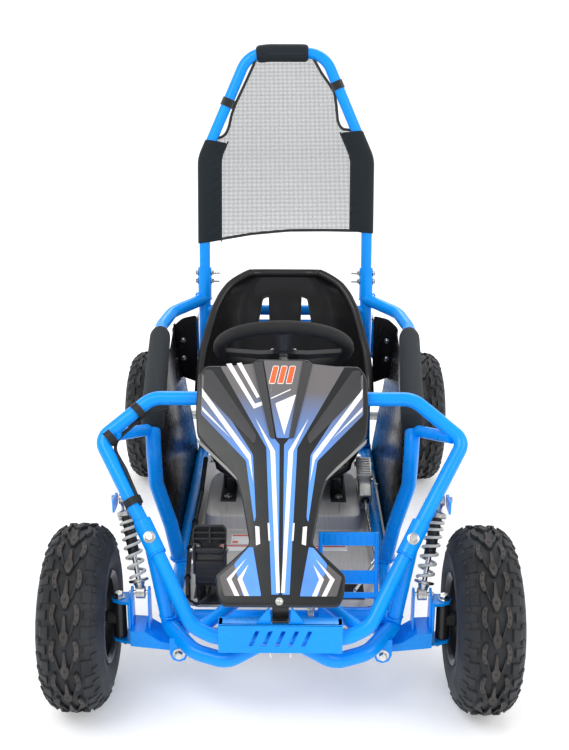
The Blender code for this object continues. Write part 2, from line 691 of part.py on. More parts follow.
def bearing_carrier(side, name):
    """Flanged bearing housing bolted under the rail; the axle turns in its bore."""
    x = side * RAIL_X
    pieces = [box((x - 0.020, REAR_AXLE_Y - 0.043, 0.2080), (x + 0.020, REAR_AXLE_Y + 0.043, 0.2165 - GAP)),
              rod((x - 0.012, REAR_AXLE_Y, AXLE_Z), (x + 0.012, REAR_AXLE_Y, AXLE_Z), 0.0340, 16),
              box((x - 0.010, REAR_AXLE_Y - 0.030, AXLE_Z), (x + 0.010, REAR_AXLE_Y + 0.030, 0.2100))]
    bore = rod((x - 0.03, REAR_AXLE_Y, AXLE_Z), (x + 0.03, REAR_AXLE_Y, AXLE_Z),
               REAR_AXLE_RADIUS + RUNNING_GAP, 16)
    return finish(name, cut(join(pieces), [bore]), ALLOY)


def rear_axle():
    """Solid axle with a threaded stub and a collar at each end."""
    half = TRACK_REAR / 2 + 0.040
    profile = [(-half, 0.0080), (-half + 0.022, 0.0080), (-half + 0.023, REAR_AXLE_RADIUS),
               (half - 0.023, REAR_AXLE_RADIUS), (half - 0.022, 0.0080), (half, 0.0080)]
    centre = (0, REAR_AXLE_Y, AXLE_Z)
    return finish("rear_axle", lathe(centre, X_AXIS, profile, 16), STEEL, centre)


def brake_disc():
    centre = Vector((DISC_X, REAR_AXLE_Y, AXLE_Z))
    profile = [(-0.012, 0.019), (-0.002, 0.022), (-0.002, DISC_RADIUS), (0.002, DISC_RADIUS),
               (0.002, 0.022), (0.012, 0.019)]
    disc = lathe(centre, X_AXIS, profile, 20)
    hole = rod(centre - X_AXIS * 0.03, centre + X_AXIS * 0.03, REAR_AXLE_RADIUS + GAP, 16)
    return finish("brake_disc", cut(disc, [hole]), STEEL, centre)


def brake_caliper():
    low = (DISC_X - 0.0300, 0.4130, 0.1685)
    body = box(low, (DISC_X + 0.026, 0.4640, 0.2080))
    slot = box((DISC_X - 0.0040, 0.4220, 0.12), (DISC_X + 0.0040, 0.50, 0.24))
    return finish("brake_caliper", cut(body, [slot]), ALLOY)


# ---- wheels ------------------------------------------------------------------------------
def tyre(name, centre):
    """Balloon tyre: tread crown, shoulders, bulged sidewalls and beads."""
    half = TYRE_WIDTH / 2
    outer = TYRE_RADIUS / math.cos(math.pi / WHEEL_SIDES)
    bead = RIM_RADIUS + GAP
    profile = [(-half + 0.010, bead), (-half, bead + 0.022), (-half, outer - 0.040),
               (-half + 0.007, outer - 0.016), (-half + 0.030, outer - 0.002), (0.0, outer),
               (half - 0.030, outer - 0.002),
               (half - 0.007, outer - 0.016), (half, outer - 0.040), (half, bead + 0.022),
               (half - 0.010, bead)]
    return finish(name, lathe(centre, X_AXIS, profile, WHEEL_SIDES, closed=True), RUBBER, centre)


def rim(name, centre, outward, bore, hub_inner, look):
    """Pressed steel rim with a disc towards the outside and a hub along the axle."""
    s = outward
    half = RIM_WIDTH / 2
    profile = [(-half, RIM_RADIUS), (half, RIM_RADIUS), (half, RIM_RADIUS - 0.008),
               (0.020, RIM_RADIUS - 0.012), (0.040, 0.024), (0.040, bore), (hub_inner, bore),
               (hub_inner, 0.024), (0.008, RIM_RADIUS - 0.014), (-half, RIM_RADIUS - 0.008)]
    profile = [(s * d, r) for d, r in profile]
    return finish(name, lathe(centre, X_AXIS, profile, WHEEL_SIDES, closed=True), look, centre)


# ---- steering ----------------------------------------------------------------------------
def steering_wheel():
    """Padded rim, three flat spokes and the hub plate, square to the column."""
    across = X_AXIS
    forward = column_axis().cross(across)
    steps = 20
    path = [WHEEL_CENTRE + STEERING_WHEEL_RADIUS * (math.cos(t) * across + math.sin(t) * forward)
            for t in (2 * math.pi * i / steps for i in range(steps))]
    rim_body = new_object("rim", sweep(path, STEERING_RIM_TUBE, 8, closed=True))
    pieces = [rim_body, rod(column_point(0.018), column_point(-0.004), 0.030, 12)]
    for turn in (0.18, math.pi - 0.18, -math.pi / 2):
        end = WHEEL_CENTRE + 0.128 * (math.cos(turn) * across + math.sin(turn) * forward)
        start = column_point(0.010)
        along = (end - start).normalized()
        wide = along.cross(column_axis()).normalized() * 0.012
        thick = column_axis() * 0.005
        corners = [start - wide, start + wide, end + wide * 0.8, end - wide * 0.8]
        pieces.append(prism([c - thick / 2 for c in corners], thick))
    return finish("steering_wheel", join(pieces), BLACK_PLASTIC, WHEEL_CENTRE)


def steering_column():
    """Column tube with its wheel flange, lower collar and a pitman plate that reaches back."""
    foot = column_point(COLUMN_LENGTH)
    shaft = rod(column_point(0.0185), foot, COLUMN_RADIUS)
    collar = rod(column_point(0.4430), column_point(0.455), 0.0150)
    low = PITMAN_TIP.z + PITMAN_DROP
    back = PITMAN_TIP.y
    half = PITMAN_HALF_X
    outline = [(-0.014, foot.y - 0.012, low), (0.014, foot.y - 0.012, low),
               (half + 0.009, back + 0.004, low), (half + 0.004, back + 0.010, low),
               (-half - 0.004, back + 0.010, low), (-half - 0.009, back + 0.004, low)]
    plate = prism(outline, (0, 0, 0.005))
    post = rod(column_point(COLUMN_LENGTH - 0.030), foot - Z_AXIS * 0.005, 0.0115)
    body = join([shaft, collar, plate, post])
    return finish("steering_column", body, STEEL, foot)


# ---- front suspension --------------------------------------------------------------------
def suspension_arm(side, name):
    """Swing arm: pivot sleeve, box section, twin shock lugs and the C bracket for the kingpin."""
    px, py, pz = mirrored(ARM_PIVOT, side)
    pivot = rod((px, py - 0.044, pz), (px, py + 0.044, pz), 0.0120)
    web = [(0.172, 0.112), (0.172, 0.124), (0.212, 0.129), (0.246, 0.150), (0.266, 0.150), (0.266, 0.122),
           (0.250, 0.120)]
    web_body = prism([(side * x, -0.528, z) for x, z in web], (0, 0.056, 0))
    plate_x = 0.2675
    upright = box((side * plate_x - 0.0025, -0.520, 0.1215), (side * plate_x + 0.0025, -0.482, 0.2045))
    pieces = [pivot, web_body, upright]
    for z in EAR_Z:
        outline = [(0.266, -0.520), (KINGPIN_X - 0.002, -0.516), (KINGPIN_X + 0.013, -0.508),
                   (KINGPIN_X + 0.013, -0.492), (KINGPIN_X - 0.002, -0.484), (0.266, -0.484)]
        pieces.append(prism([(side * x, y, z - EAR_THICK / 2) for x, y in outline], (0, 0, EAR_THICK)))
    lug = [(-0.514, 0.132), (-0.486, 0.132), (-0.490, 0.214), (-0.495, 0.2205), (-0.505, 0.2205),
           (-0.510, 0.214)]
    pieces.append(side_plate(side * (SHOCK_FOOT.x - 0.0150), 0.0035, lug))
    pieces.append(side_plate(side * (SHOCK_FOOT.x + 0.0150), 0.0035, lug))
    x, y, z = mirrored(SHOCK_FOOT, side)
    pieces.append(rod((x - 0.0175, y, z), (x + 0.0175, y, z), SHOCK_BOLT, 8))
    body = join(pieces)
    bores = [rod((px, py - 0.06, pz), (px, py + 0.06, pz), 0.0050 + RUNNING_GAP),
             rod((side * KINGPIN_X, FRONT_AXLE_Y, 0.10), (side * KINGPIN_X, FRONT_AXLE_Y, 0.23),
                 0.0050 + GAP)]
    return finish(name, cut(body, bores), BLUE, (px, py, pz))


def arm_pin(side, name):
    """Pivot bolt of the suspension arm, head at the front."""
    px, py, pz = mirrored(ARM_PIVOT, side)
    pin = rod((px, py - 0.056, pz), (px, py + 0.058, pz), 0.0050)
    head = rod((px, py - 0.0590, pz), (px, py - 0.0524, pz), 0.0080, 6)
    return finish(name, join([pin, head]), STEEL)


def kingpin(side, name):
    """Vertical bolt through both ears, head on top."""
    spot = Vector((side * KINGPIN_X, FRONT_AXLE_Y, 0))
    top = EAR_Z[1] + EAR_THICK / 2 + GAP
    pin = rod(spot + Z_AXIS * 0.1130, spot + Z_AXIS * (top + 0.002), 0.0050)
    head = rod(spot + Z_AXIS * top, spot + Z_AXIS * (top + 0.0065), 0.0090, 6)
    return finish(name, join([pin, head]), STEEL)


def knuckle(side, name):
    """Kingpin boss, wheel spindle and the steering arm behind the axle."""
    spot = Vector((side * KINGPIN_X, FRONT_AXLE_Y, 0))
    low, high = EAR_Z[0] + EAR_THICK / 2 + 0.0010, EAR_Z[1] - EAR_THICK / 2 - 0.0010
    boss = rod(spot + Z_AXIS * low, spot + Z_AXIS * high, 0.0120, 12)
    middle = spot + Z_AXIS * AXLE_Z
    spindle = rod(middle + X_AXIS * side * 0.006, (side * 0.402, FRONT_AXLE_Y, AXLE_Z), SPINDLE_RADIUS)
    shoulder = rod(middle + X_AXIS * side * 0.004, (side * 0.3085, FRONT_AXLE_Y, AXLE_Z), 0.0130)
    ball = mirrored(TIE_BALL, side)
    arm = side_plate(side * 0.284, 0.008, [(-0.494, 0.129), (-0.494, 0.146), (-0.476, 0.146),
                                           (-0.461, 0.112), (-0.457, 0.103), (-0.457, 0.096),
                                           (-0.466, 0.096), (-0.479, 0.129)])
    tip = rod(ball + Z_AXIS * 0.0100, ball + Z_AXIS * 0.0170, 0.0095)
    body = join([boss, spindle, shoulder, arm, tip])
    bores = [rod(spot + Z_AXIS * 0.10, spot + Z_AXIS * 0.23, 0.0050 + RUNNING_GAP, 10),
             rod(ball, ball + Z_AXIS * 0.03, 0.0030 + RUNNING_GAP)]
    return finish(name, cut(body, bores), BLACK_METAL, middle)


def tie_stud(side, name):
    """Ball stud under the steering arm; the tie rod's end swivels on it."""
    ball = mirrored(TIE_BALL, side)
    stud = rod(ball - Z_AXIS * 0.002, ball + Z_AXIS * 0.0215, 0.0030)
    collar = rod(ball - Z_AXIS * 0.003, ball + Z_AXIS * 0.0045, 0.0050)
    nut = rod(ball + Z_AXIS * (0.0170 + RUNNING_GAP), ball + Z_AXIS * 0.0225, 0.0060, 6)
    return finish(name, join([stud, collar, nut]), STEEL, ball)


def tie_rod(side, name):
    """Plated rod with a rod end at the knuckle and a flat eye just under the pitman plate."""
    ball = mirrored(TIE_BALL, side)
    inner = Vector((side * PITMAN_HALF_X, PITMAN_TIP.y, PITMAN_TIP.z))
    along = (inner - ball).normalized()
    eye = rod(ball - Z_AXIS * 0.0055, ball + Z_AXIS * 0.0055, 0.0090, 12)
    shaft = rod(ball + along * 0.0080, inner - along * 0.0060, 0.0045)
    inner_eye = rod(inner - Z_AXIS * 0.0045, inner + Z_AXIS * 0.0045, 0.0080, 10)
    body = join([eye, shaft, inner_eye])
    socket = rod(ball - Z_AXIS * 0.02, ball + Z_AXIS * 0.02, 0.0050 + RUNNING_GAP)
    return finish(name, cut(body, [socket]), CHROME, ball)


def shock_frame(side):
    """Top eye, bottom eye and the unit vector from the top to the bottom."""
    top, foot = mirrored(SHOCK_TOP, side), mirrored(SHOCK_FOOT, side)
    return top, foot, (foot - top).normalized()


def shock_eye(centre):
    return rod(centre - X_AXIS * 0.0080, centre + X_AXIS * 0.0080, SHOCK_EYE, 12)


def eye_bore(centre):
    return rod(centre - X_AXIS * 0.03, centre + X_AXIS * 0.03, SHOCK_EYE_BORE)


def shock_body(side, name):
    """Top eye, cap with the upper spring seat, and the damper tube, bored for the rod."""
    top, _, down = shock_frame(side)
    profile = [(0.006, 0.0080), (0.021, 0.0090), (0.023, 0.0167), (0.031, 0.0171), (0.033, 0.0100),
               (0.100, 0.0100)]
    body = join([lathe(top, down, profile, 12), shock_eye(top)])
    bore = rod(top + down * 0.040, top + down * 0.110, 0.0045 + RUNNING_GAP)
    return finish(name, cut(body, [bore, eye_bore(top)]), BLACK_METAL, top)


def shock_rod(side, name):
    """Damper rod, lower spring seat and lower eye."""
    top, foot, down = shock_frame(side)
    shaft = rod(top + down * 0.075, foot - down * 0.010, 0.0045)
    seat = lathe(foot, -down, ((0.007, 0.0080), (0.018, 0.0100), (0.021, 0.0176), (0.024, 0.0176)), 12)
    body = join([seat, shock_eye(foot), shaft])
    return finish(name, cut(body, [eye_bore(foot)]), CHROME, foot)


def spring(side, name):
    """Open coil between the two seats."""
    top, foot, down = shock_frame(side)
    across, up = frame_about(down)
    length = (foot - top).length - SPRING_SEAT_TOP - SPRING_SEAT_FOOT - 2 * GAP
    steps = 9
    start = top + down * (SPRING_SEAT_TOP + SPRING_WIRE + GAP)
    travel = length - 2 * SPRING_WIRE
    path = []
    for i in range(SPRING_TURNS * steps + 1):
        t = i / (SPRING_TURNS * steps)
        turn = 2 * math.pi * i / steps
        path.append(start + down * (travel * t)
                    + SPRING_RADIUS * (math.cos(turn) * across + math.sin(turn) * up))
    return finish(name, new_object("coil", sweep(path, SPRING_WIRE * 0.98, 4)), SPRING_GREY, top)


# ---- pedals and brake hydraulics ---------------------------------------------------------
def brake_lean():
    """Unit vector up the brake pedal's side bars."""
    return Vector((0, math.sin(BRAKE_LEAN), math.cos(BRAKE_LEAN)))


def brake_pedal():
    """Ladder-shaped pedal with two tread plates, turning on the frame's foremost cross tube."""
    x, y, z = BRAKE_PIVOT
    lean = brake_lean()
    flat = X_AXIS.cross(lean)
    pieces = [rod(BRAKE_PIVOT - X_AXIS * 0.054, BRAKE_PIVOT + X_AXIS * 0.054, 0.0165)]
    for side in (-1, 1):
        bar = BRAKE_PIVOT + X_AXIS * side * BRAKE_HALF_X
        pieces.append(rod(bar + lean * 0.012, bar + lean * 0.154, 0.0038, 8))
    stub = BRAKE_PIVOT + lean * BRAKE_STUB_HEIGHT
    pieces.append(rod(stub - X_AXIS * BRAKE_HALF_X, stub + X_AXIS * (BRAKE_HALF_X + 0.0165), 0.0055))
    for low, high in ((0.060, 0.084), (0.129, 0.153)):
        corners = [Vector((x + s * (BRAKE_HALF_X + 0.002), y, z)) + lean * h
                   for s, h in ((-1, low), (1, low), (1, high), (-1, high))]
        pieces.append(prism([c - flat * 0.0015 for c in corners], flat * 0.003))
    bore = rod(BRAKE_PIVOT - X_AXIS * 0.07, BRAKE_PIVOT + X_AXIS * 0.07, (CROSS_TUBE + RUNNING_GAP) / FACET)
    return finish("brake_pedal", cut(join(pieces), [bore]), BLUE, BRAKE_PIVOT)


def master_cylinder():
    """Alloy body on a foot, with a square reservoir and a bore open at the front."""
    axis = cylinder_axis()
    body = rod(CYLINDER_FRONT, CYLINDER_FRONT + axis * 0.108, 0.0125, 12)
    middle = CYLINDER_FRONT + axis * 0.076
    tank = turned_box(middle + Vector((0, 0, 0.012)), (0.030, 0.056, 0.024), "X", CYLINDER_TILT)
    web = box((0.163, -0.062, FLOOR_Z + FLOOR_THICK + GAP), (0.176, -0.022, 0.220))
    whole = join([body, tank, web])
    bore = rod(CYLINDER_FRONT - axis * 0.02, CYLINDER_FRONT + axis * 0.058, 0.0090)
    return finish("master_cylinder", cut(whole, [bore]), ALLOY)


def brake_pushrod():
    """Piston in the cylinder's bore and a cranked rod whose ring stands round the pedal's stub."""
    axis = cylinder_axis()
    inner = CYLINDER_FRONT + axis * 0.034
    piston = rod(inner, inner + axis * 0.012, 0.0080)
    stub = BRAKE_PIVOT + brake_lean() * BRAKE_STUB_HEIGHT + X_AXIS * (BRAKE_HALF_X + 0.0125)
    start = stub + Vector((0, 0.0122, 0.002))
    path = [inner + axis * 0.002, CYLINDER_FRONT - axis * 0.030, (0.1790, -0.340, 0.1930), start]
    shaft = tube(path, 0.0030, 0.02, 8, 2)
    ring = rod(stub - X_AXIS * 0.003, stub + X_AXIS * 0.003, 0.0140, 12)
    eye = rod(stub - X_AXIS * 0.01, stub + X_AXIS * 0.01, 0.0108, 12)
    return finish("brake_pushrod", cut(join([piston, shaft, ring]), [eye]), STEEL, CYLINDER_FRONT)


def brake_line():
    """Hydraulic line from the cylinder, forward over the rail and back beneath it to the caliper."""
    path = [(0.1900, -0.020, 0.2360), (0.1965, -0.060, 0.2200), (0.2030, -0.140, 0.1880),
            (0.2050, -0.250, 0.1800), (0.2250, -0.268, 0.1600), (0.2140, -0.250, 0.1400),
            (0.1960, -0.160, 0.1360), (0.1960, 0.300, 0.1360), (0.1000, 0.420, 0.1300),
            (-0.0150, 0.4420, 0.1750), (-0.0320, 0.4420, 0.1900)]
    return finish("brake_line", tube(path, 0.0024, 0.020, 6, 2), STEEL)


def throttle_base():
    """Moulded pedestal on the floor with two cheeks that carry the pedal's pin."""
    x, y, z = THROTTLE_PIVOT
    floor = FLOOR_Z + FLOOR_THICK + GAP
    pieces = [box((x - 0.030, -0.462, floor), (x + 0.030, -0.385, floor + 0.005)),
              box((x - 0.0265, -0.446, 0.198), (x + 0.0265, -0.402, z - 0.014))]
    for side in (-1, 1):
        pieces.append(box((x + side * 0.0275 - 0.0025, -0.443, z - 0.040),
                          (x + side * 0.0275 + 0.0025, y + 0.014, z + 0.008)))
        foot = x + side * 0.018
        pieces.append(box((foot - 0.007, -0.442, floor), (foot + 0.007, -0.404, 0.200)))
    pieces.append(rod((x - 0.036, y, z), (x + 0.036, y, z), 0.0030, 8))
    return finish("throttle_base", join(pieces), BLACK_PLASTIC)


def throttle_pedal():
    """Pad on its bush between the cheeks, leaning back towards the driver."""
    x, y, z = THROTTLE_PIVOT
    bush = rod((x - 0.0242, y, z), (x + 0.0242, y, z), 0.0070)
    up = Vector((0, math.sin(THROTTLE_LEAN), math.cos(THROTTLE_LEAN)))
    flat = X_AXIS.cross(up)
    half = [(0.018, -0.002), (0.018, 0.013), (0.0305, 0.013), (0.0305, 0.040), (0.024, 0.047)]
    pad = [Vector((x + s, y, z)) + up * h for s, h in half + [(-s, h) for s, h in reversed(half)]]
    body = join([bush, prism([p - flat * 0.004 for p in pad], flat * 0.008)])
    hole = rod((x - 0.04, y, z), (x + 0.04, y, z), 0.0030 + RUNNING_GAP, 8)
    return finish("throttle_pedal", cut(body, [hole]), BLACK_PLASTIC, THROTTLE_PIVOT)


def wire_loom():
    """Sheathed cable from under the seat forward to the throttle."""
    path = [(-0.1740, 0.060, 0.2300), (-0.1760, -0.040, 0.1960), (-0.1790, -0.180, 0.1920),
            (-0.1790, -0.300, 0.1950), (-0.1745, -0.400, 0.1880), (-0.1690, -0.455, 0.1790)]
    return finish("wire_loom", tube(path, 0.0050, 0.04, 6, 2), RUBBER)


# ---- assembly ----------------------------------------------------------------------------
def build_side(side, word):
    half_front, half_rear = TRACK_FRONT / 2, TRACK_REAR / 2
    front = Vector((side * half_front, FRONT_AXLE_Y, AXLE_Z))
    rear = Vector((side * half_rear, REAR_AXLE_Y, AXLE_Z))
    side_guard(side, "side_guard_" + word)
    side_pad(side, "side_pad_" + word)
    bearing_carrier(side, "bearing_carrier_" + word)
    suspension_arm(side, "arm_" + word)
    arm_pin(side, "arm_pin_" + word)
    kingpin(side, "kingpin_" + word)
    knuckle(side, "knuckle_" + word)
    rim("rim_front_" + word, front, side, SPINDLE_RADIUS + RUNNING_GAP, -0.040, BLACK_METAL)
    tyre("tyre_front_" + word, front)
    tie_stud(side, "tie_stud_" + word)
    tie_rod(side, "tie_rod_" + word)
    shock_body(side, "shock_body_" + word)
    shock_rod(side, "shock_rod_" + word)
    spring(side, "spring_" + word)
    rim("rim_rear_" + word, rear, side, REAR_AXLE_RADIUS + GAP, -0.050, BLACK_METAL)
    tyre("tyre_rear_" + word, rear)


def build():
    clear_scene()
    main_frame()
    front_hoop()
    roll_hoop()
    floor_pan()
    nose_panel()
    nose_bracket()
    seat_shell()
    seat_mount()
    roll_net()
    battery_box()
    controller()
    motor()
    rear_centre = (0, REAR_AXLE_Y, AXLE_Z)
    sprocket("axle_sprocket", rear_centre, SPROCKET_X, SPROCKET_RADIUS, 30, REAR_AXLE_RADIUS, 0.004, STEEL)
    sprocket("motor_pinion", MOTOR_AXIS, SPROCKET_X, PINION_RADIUS, 9, 0.0060, 0.004, STEEL)
    chain()
    rear_axle()
    brake_disc()
    brake_caliper()
    steering_wheel()
    steering_column()
    brake_pedal()
    master_cylinder()
    brake_pushrod()
    brake_line()
    throttle_base()
    throttle_pedal()
    wire_loom()
    build_side(1, "left")
    build_side(-1, "right")


build()
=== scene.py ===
"""Looks of the off-road mini kart: fine tubes, tyres, moulded parts, fabric and materials.

Metres, +Z up, the kart drives towards -Y and the driver's left is +X.  Every piece is placed
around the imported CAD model, and rides on one of its bodies.
"""

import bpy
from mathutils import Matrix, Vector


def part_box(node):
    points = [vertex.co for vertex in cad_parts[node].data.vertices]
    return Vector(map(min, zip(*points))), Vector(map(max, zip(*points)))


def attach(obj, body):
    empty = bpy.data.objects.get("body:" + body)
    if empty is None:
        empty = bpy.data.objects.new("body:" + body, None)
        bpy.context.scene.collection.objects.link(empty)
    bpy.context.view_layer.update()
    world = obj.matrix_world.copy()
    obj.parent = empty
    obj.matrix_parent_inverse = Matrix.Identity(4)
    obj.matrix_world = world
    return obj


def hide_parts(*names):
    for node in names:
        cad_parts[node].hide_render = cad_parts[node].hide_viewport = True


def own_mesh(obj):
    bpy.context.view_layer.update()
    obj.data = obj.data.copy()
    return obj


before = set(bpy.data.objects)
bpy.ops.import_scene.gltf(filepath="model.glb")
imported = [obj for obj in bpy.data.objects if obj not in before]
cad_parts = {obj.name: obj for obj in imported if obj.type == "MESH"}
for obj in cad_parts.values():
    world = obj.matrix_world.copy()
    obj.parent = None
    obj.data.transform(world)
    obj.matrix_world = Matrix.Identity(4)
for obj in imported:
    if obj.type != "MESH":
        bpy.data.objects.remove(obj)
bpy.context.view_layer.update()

import math
import random

import bmesh
import bpy
from mathutils import Matrix, Vector

X_AXIS, Y_AXIS, Z_AXIS = Vector((1, 0, 0)), Vector((0, 1, 0)), Vector((0, 0, 1))
SIDES = ((1, "left"), (-1, "right"))
CHASSIS = "chassis"


def centre_of(node):
    low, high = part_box(node)
    return (low + high) / 2


# ---- the frame's own centre lines, as the CAD model has them ------------------------------
RAIL_TUBE = 0.0140
HOOP_TUBE = 0.0127
SLEEVE_TUBE = 0.0160
CROSS_TUBE = 0.0110
LEG_TOP = Vector((0.318, -0.400, 0.463))
LEG_FOOT = Vector((0.1505, -0.594, 0.204))
HOOP_Y, HOOP_Z = -0.350, 0.524
ROLL_LEAN = math.radians(12.0)
ROLL_FOOT = (0.330, 0.450)
ROLL_X = 0.191
ROLL_TOP_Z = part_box("roll_hoop")[1].z - 0.0217
SLEEVE_Z = (0.302, 0.347)
RAIL_Z, REAR_RAIL_Z = 0.160, 0.235
FLOOR_TOP = 0.167
COVER_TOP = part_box("floor_pan")[1].z
PLATE_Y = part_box("main_frame")[0].y
WHEEL_CENTRE = Vector((0.0, -0.100, 0.549))
COLUMN_TILT = math.radians(36.0)
AXLE_Z = centre_of("rear_axle").z
REAR_Y = centre_of("rear_axle").y


def mirrored(point, side):
    return Vector((side * point[0], point[1], point[2]))


def roll_point(x, z):
    return Vector((x, ROLL_FOOT[0] + math.tan(ROLL_LEAN) * (z - ROLL_FOOT[1]), z))


def leg_point(z, side=1):
    t = (LEG_TOP.z - z) / (LEG_TOP.z - LEG_FOOT.z)
    return mirrored(LEG_TOP.lerp(LEG_FOOT, t), side)


def column_point(distance):
    return WHEEL_CENTRE + Vector((0, -math.sin(COLUMN_TILT), -math.cos(COLUMN_TILT))) * distance


def panel_y(z):
    """The nose panel's front plane."""
    return -0.330 - (0.590 - z) / 1.13


# ---- materials ----------------------------------------------------------------------------
def new_material(name):
    made = bpy.data.materials.new(name)
    made.use_nodes = True
    tree = made.node_tree
    return made, tree, tree.nodes["Principled BSDF"]


def add(tree, kind, **values):
    node = tree.nodes.new(kind)
    for key, value in values.items():
        if key in node.inputs:
            node.inputs[key].default_value = value
        else:
            setattr(node, key, value)
    return node


def coordinates(tree, stretch=(1, 1, 1)):
    place = add(tree, "ShaderNodeTexCoord")
    scale = add(tree, "ShaderNodeMapping")
    scale.inputs["Scale"].default_value = stretch
    tree.links.new(place.outputs["Object"], scale.inputs["Vector"])
    return scale.outputs["Vector"]


def noise(tree, scale, detail=3.0, stretch=(1, 1, 1)):
    made = add(tree, "ShaderNodeTexNoise", Scale=scale, Detail=detail)
    tree.links.new(coordinates(tree, stretch), made.inputs["Vector"])
    return made.outputs["Fac"]


def ramp(tree, source, low, high, a=0.35, b=0.65):
    made = add(tree, "ShaderNodeValToRGB")
    made.color_ramp.elements[0].position, made.color_ramp.elements[1].position = a, b
    made.color_ramp.elements[0].color = (*low, 1)
    made.color_ramp.elements[1].color = (*high, 1)
    tree.links.new(source, made.inputs["Fac"])
    return made.outputs["Color"]


def spread(tree, source, low, high):
    made = add(tree, "ShaderNodeMapRange")
    made.inputs["To Min"].default_value, made.inputs["To Max"].default_value = low, high
    tree.links.new(source, made.inputs["Value"])
    return made.outputs["Result"]


def bump(tree, shader, source, strength, distance=0.001):
    made = add(tree, "ShaderNodeBump", Strength=strength, Distance=distance)
    tree.links.new(source, made.inputs["Height"])
    before = shader.inputs["Normal"].links
    if before:
        tree.links.new(before[0].from_socket, made.inputs["Normal"])
    tree.links.new(made.outputs["Normal"], shader.inputs["Normal"])


def finish_material(name, colour, rough, metal=0.0, coat=0.0, grain=600.0, grain_depth=0.1, vary=0.15,
                    mottle=14.0, rough_vary=0.08, stretch=(1, 1, 1), edge_highlight=None, shine=0.30):
    """A base finish: slow colour drift, fine grain in the surface and a painted highlight on convex edges.
    """
    made, tree, shader = new_material(name)
    low = tuple(c * (1 - vary) for c in colour)
    high = tuple(min(c * (1 + vary), 1.0) for c in colour)
    tint = ramp(tree, noise(tree, mottle, 4.0, stretch), low, high)
    # Painted highlight: edges picked out by Pointiness are mixed towards a lighter colour, in place of
    # light caught by rounded edges.
    if edge_highlight:
        edges = add(tree, "ShaderNodeNewGeometry")
        edge_highlight_mask = ramp(tree, edges.outputs["Pointiness"], (0, 0, 0), (1, 1, 1), 0.54, 0.62)
        mixed = add(tree, "ShaderNodeMix", data_type="RGBA")
        tree.links.new(edge_highlight_mask, mixed.inputs["Factor"])
        tree.links.new(tint, mixed.inputs["A"])
        mixed.inputs["B"].default_value = (*edge_highlight, 1)
        tint = mixed.outputs["Result"]
    tree.links.new(tint, shader.inputs["Base Color"])
    tree.links.new(spread(tree, noise(tree, mottle * 3, 5.0, stretch), max(rough - rough_vary, 0.02),
                          rough + rough_vary), shader.inputs["Roughness"])
    shader.inputs["Metallic"].default_value = metal
    shader.inputs["Specular IOR Level"].default_value = 0.5 if metal else shine
    shader.inputs["Coat Weight"].default_value = coat
    shader.inputs["Coat Roughness"].default_value = 0.06
    bump(tree, shader, noise(tree, grain, 2.0, stretch), grain_depth, 0.0006)
    return made


def weave_material(name, dark, light, pitch, depth=0.5, sheen=0.4):
    """Woven cloth: threads crossing at right angles, with a soft sheen."""
    made, tree, shader = new_material(name)
    waves = []
    for direction in ("X", "Y", "Z"):
        wave = add(tree, "ShaderNodeTexWave", Scale=0.5 / pitch, Distortion=0.6)
        wave.bands_direction = direction
        tree.links.new(coordinates(tree), wave.inputs["Vector"])
        waves.append(wave.outputs["Fac"])
    total = waves[0]
    for other in waves[1:]:
        joined = add(tree, "ShaderNodeMath", operation="ADD")
        tree.links.new(total, joined.inputs[0])
        tree.links.new(other, joined.inputs[1])
        total = joined.outputs["Value"]
    third = add(tree, "ShaderNodeMath", operation="MULTIPLY")
    tree.links.new(total, third.inputs[0])
    third.inputs[1].default_value = 1 / 3
    tree.links.new(ramp(tree, third.outputs["Value"], dark, light, 0.3, 0.7), shader.inputs["Base Color"])
    shader.inputs["Roughness"].default_value = 0.85
    shader.inputs["Specular IOR Level"].default_value = 0.2
    shader.inputs["Sheen Weight"].default_value = sheen
    bump(tree, shader, third.outputs["Value"], depth, 0.0006)
    bump(tree, shader, noise(tree, 30, 3.0), 0.25, 0.002)
    return made


def sheet_material(name):
    """Galvanised sheet: faint spangle, rolled streaks and handling marks."""
    made, tree, shader = new_material(name)
    cells = add(tree, "ShaderNodeTexVoronoi", Scale=90.0)
    tree.links.new(coordinates(tree), cells.inputs["Vector"])
    streaks = noise(tree, 22.0, 6.0, (14.0, 1.0, 1.0))
    joined = add(tree, "ShaderNodeMath", operation="MULTIPLY_ADD")
    tree.links.new(cells.outputs["Distance"], joined.inputs[0])
    joined.inputs[1].default_value = 0.25
    tree.links.new(streaks, joined.inputs[2])
    tree.links.new(ramp(tree, joined.outputs["Value"], (0.47, 0.455, 0.44), (0.55, 0.535, 0.52), 0.3, 0.8),
                   shader.inputs["Base Color"])
    tree.links.new(spread(tree, noise(tree, 60, 4.0), 0.38, 0.55), shader.inputs["Roughness"])
    shader.inputs["Metallic"].default_value = 0.25
    bump(tree, shader, streaks, 0.05, 0.0006)
    return made


def print_material(name, top, bottom, top_z, bottom_z):
    """Printed film whose colour fades from the top of the panel to its foot."""
    made, tree, shader = new_material(name)
    place = add(tree, "ShaderNodeTexCoord")
    split = add(tree, "ShaderNodeSeparateXYZ")
    tree.links.new(place.outputs["Object"], split.inputs["Vector"])
    height = add(tree, "ShaderNodeMapRange")
    height.inputs["From Min"].default_value, height.inputs["From Max"].default_value = bottom_z, top_z
    tree.links.new(split.outputs["Z"], height.inputs["Value"])
    tint = ramp(tree, height.outputs["Result"], bottom, top, 0.0, 1.0)
    tree.links.new(tint, shader.inputs["Base Color"])
    tree.links.new(spread(tree, noise(tree, 40, 3.0), 0.28, 0.42), shader.inputs["Roughness"])
    shader.inputs["Coat Weight"].default_value = 0.1
    shader.inputs["Specular IOR Level"].default_value = 0.3
    bump(tree, shader, noise(tree, 260, 2.0), 0.05, 0.0005)
    return made


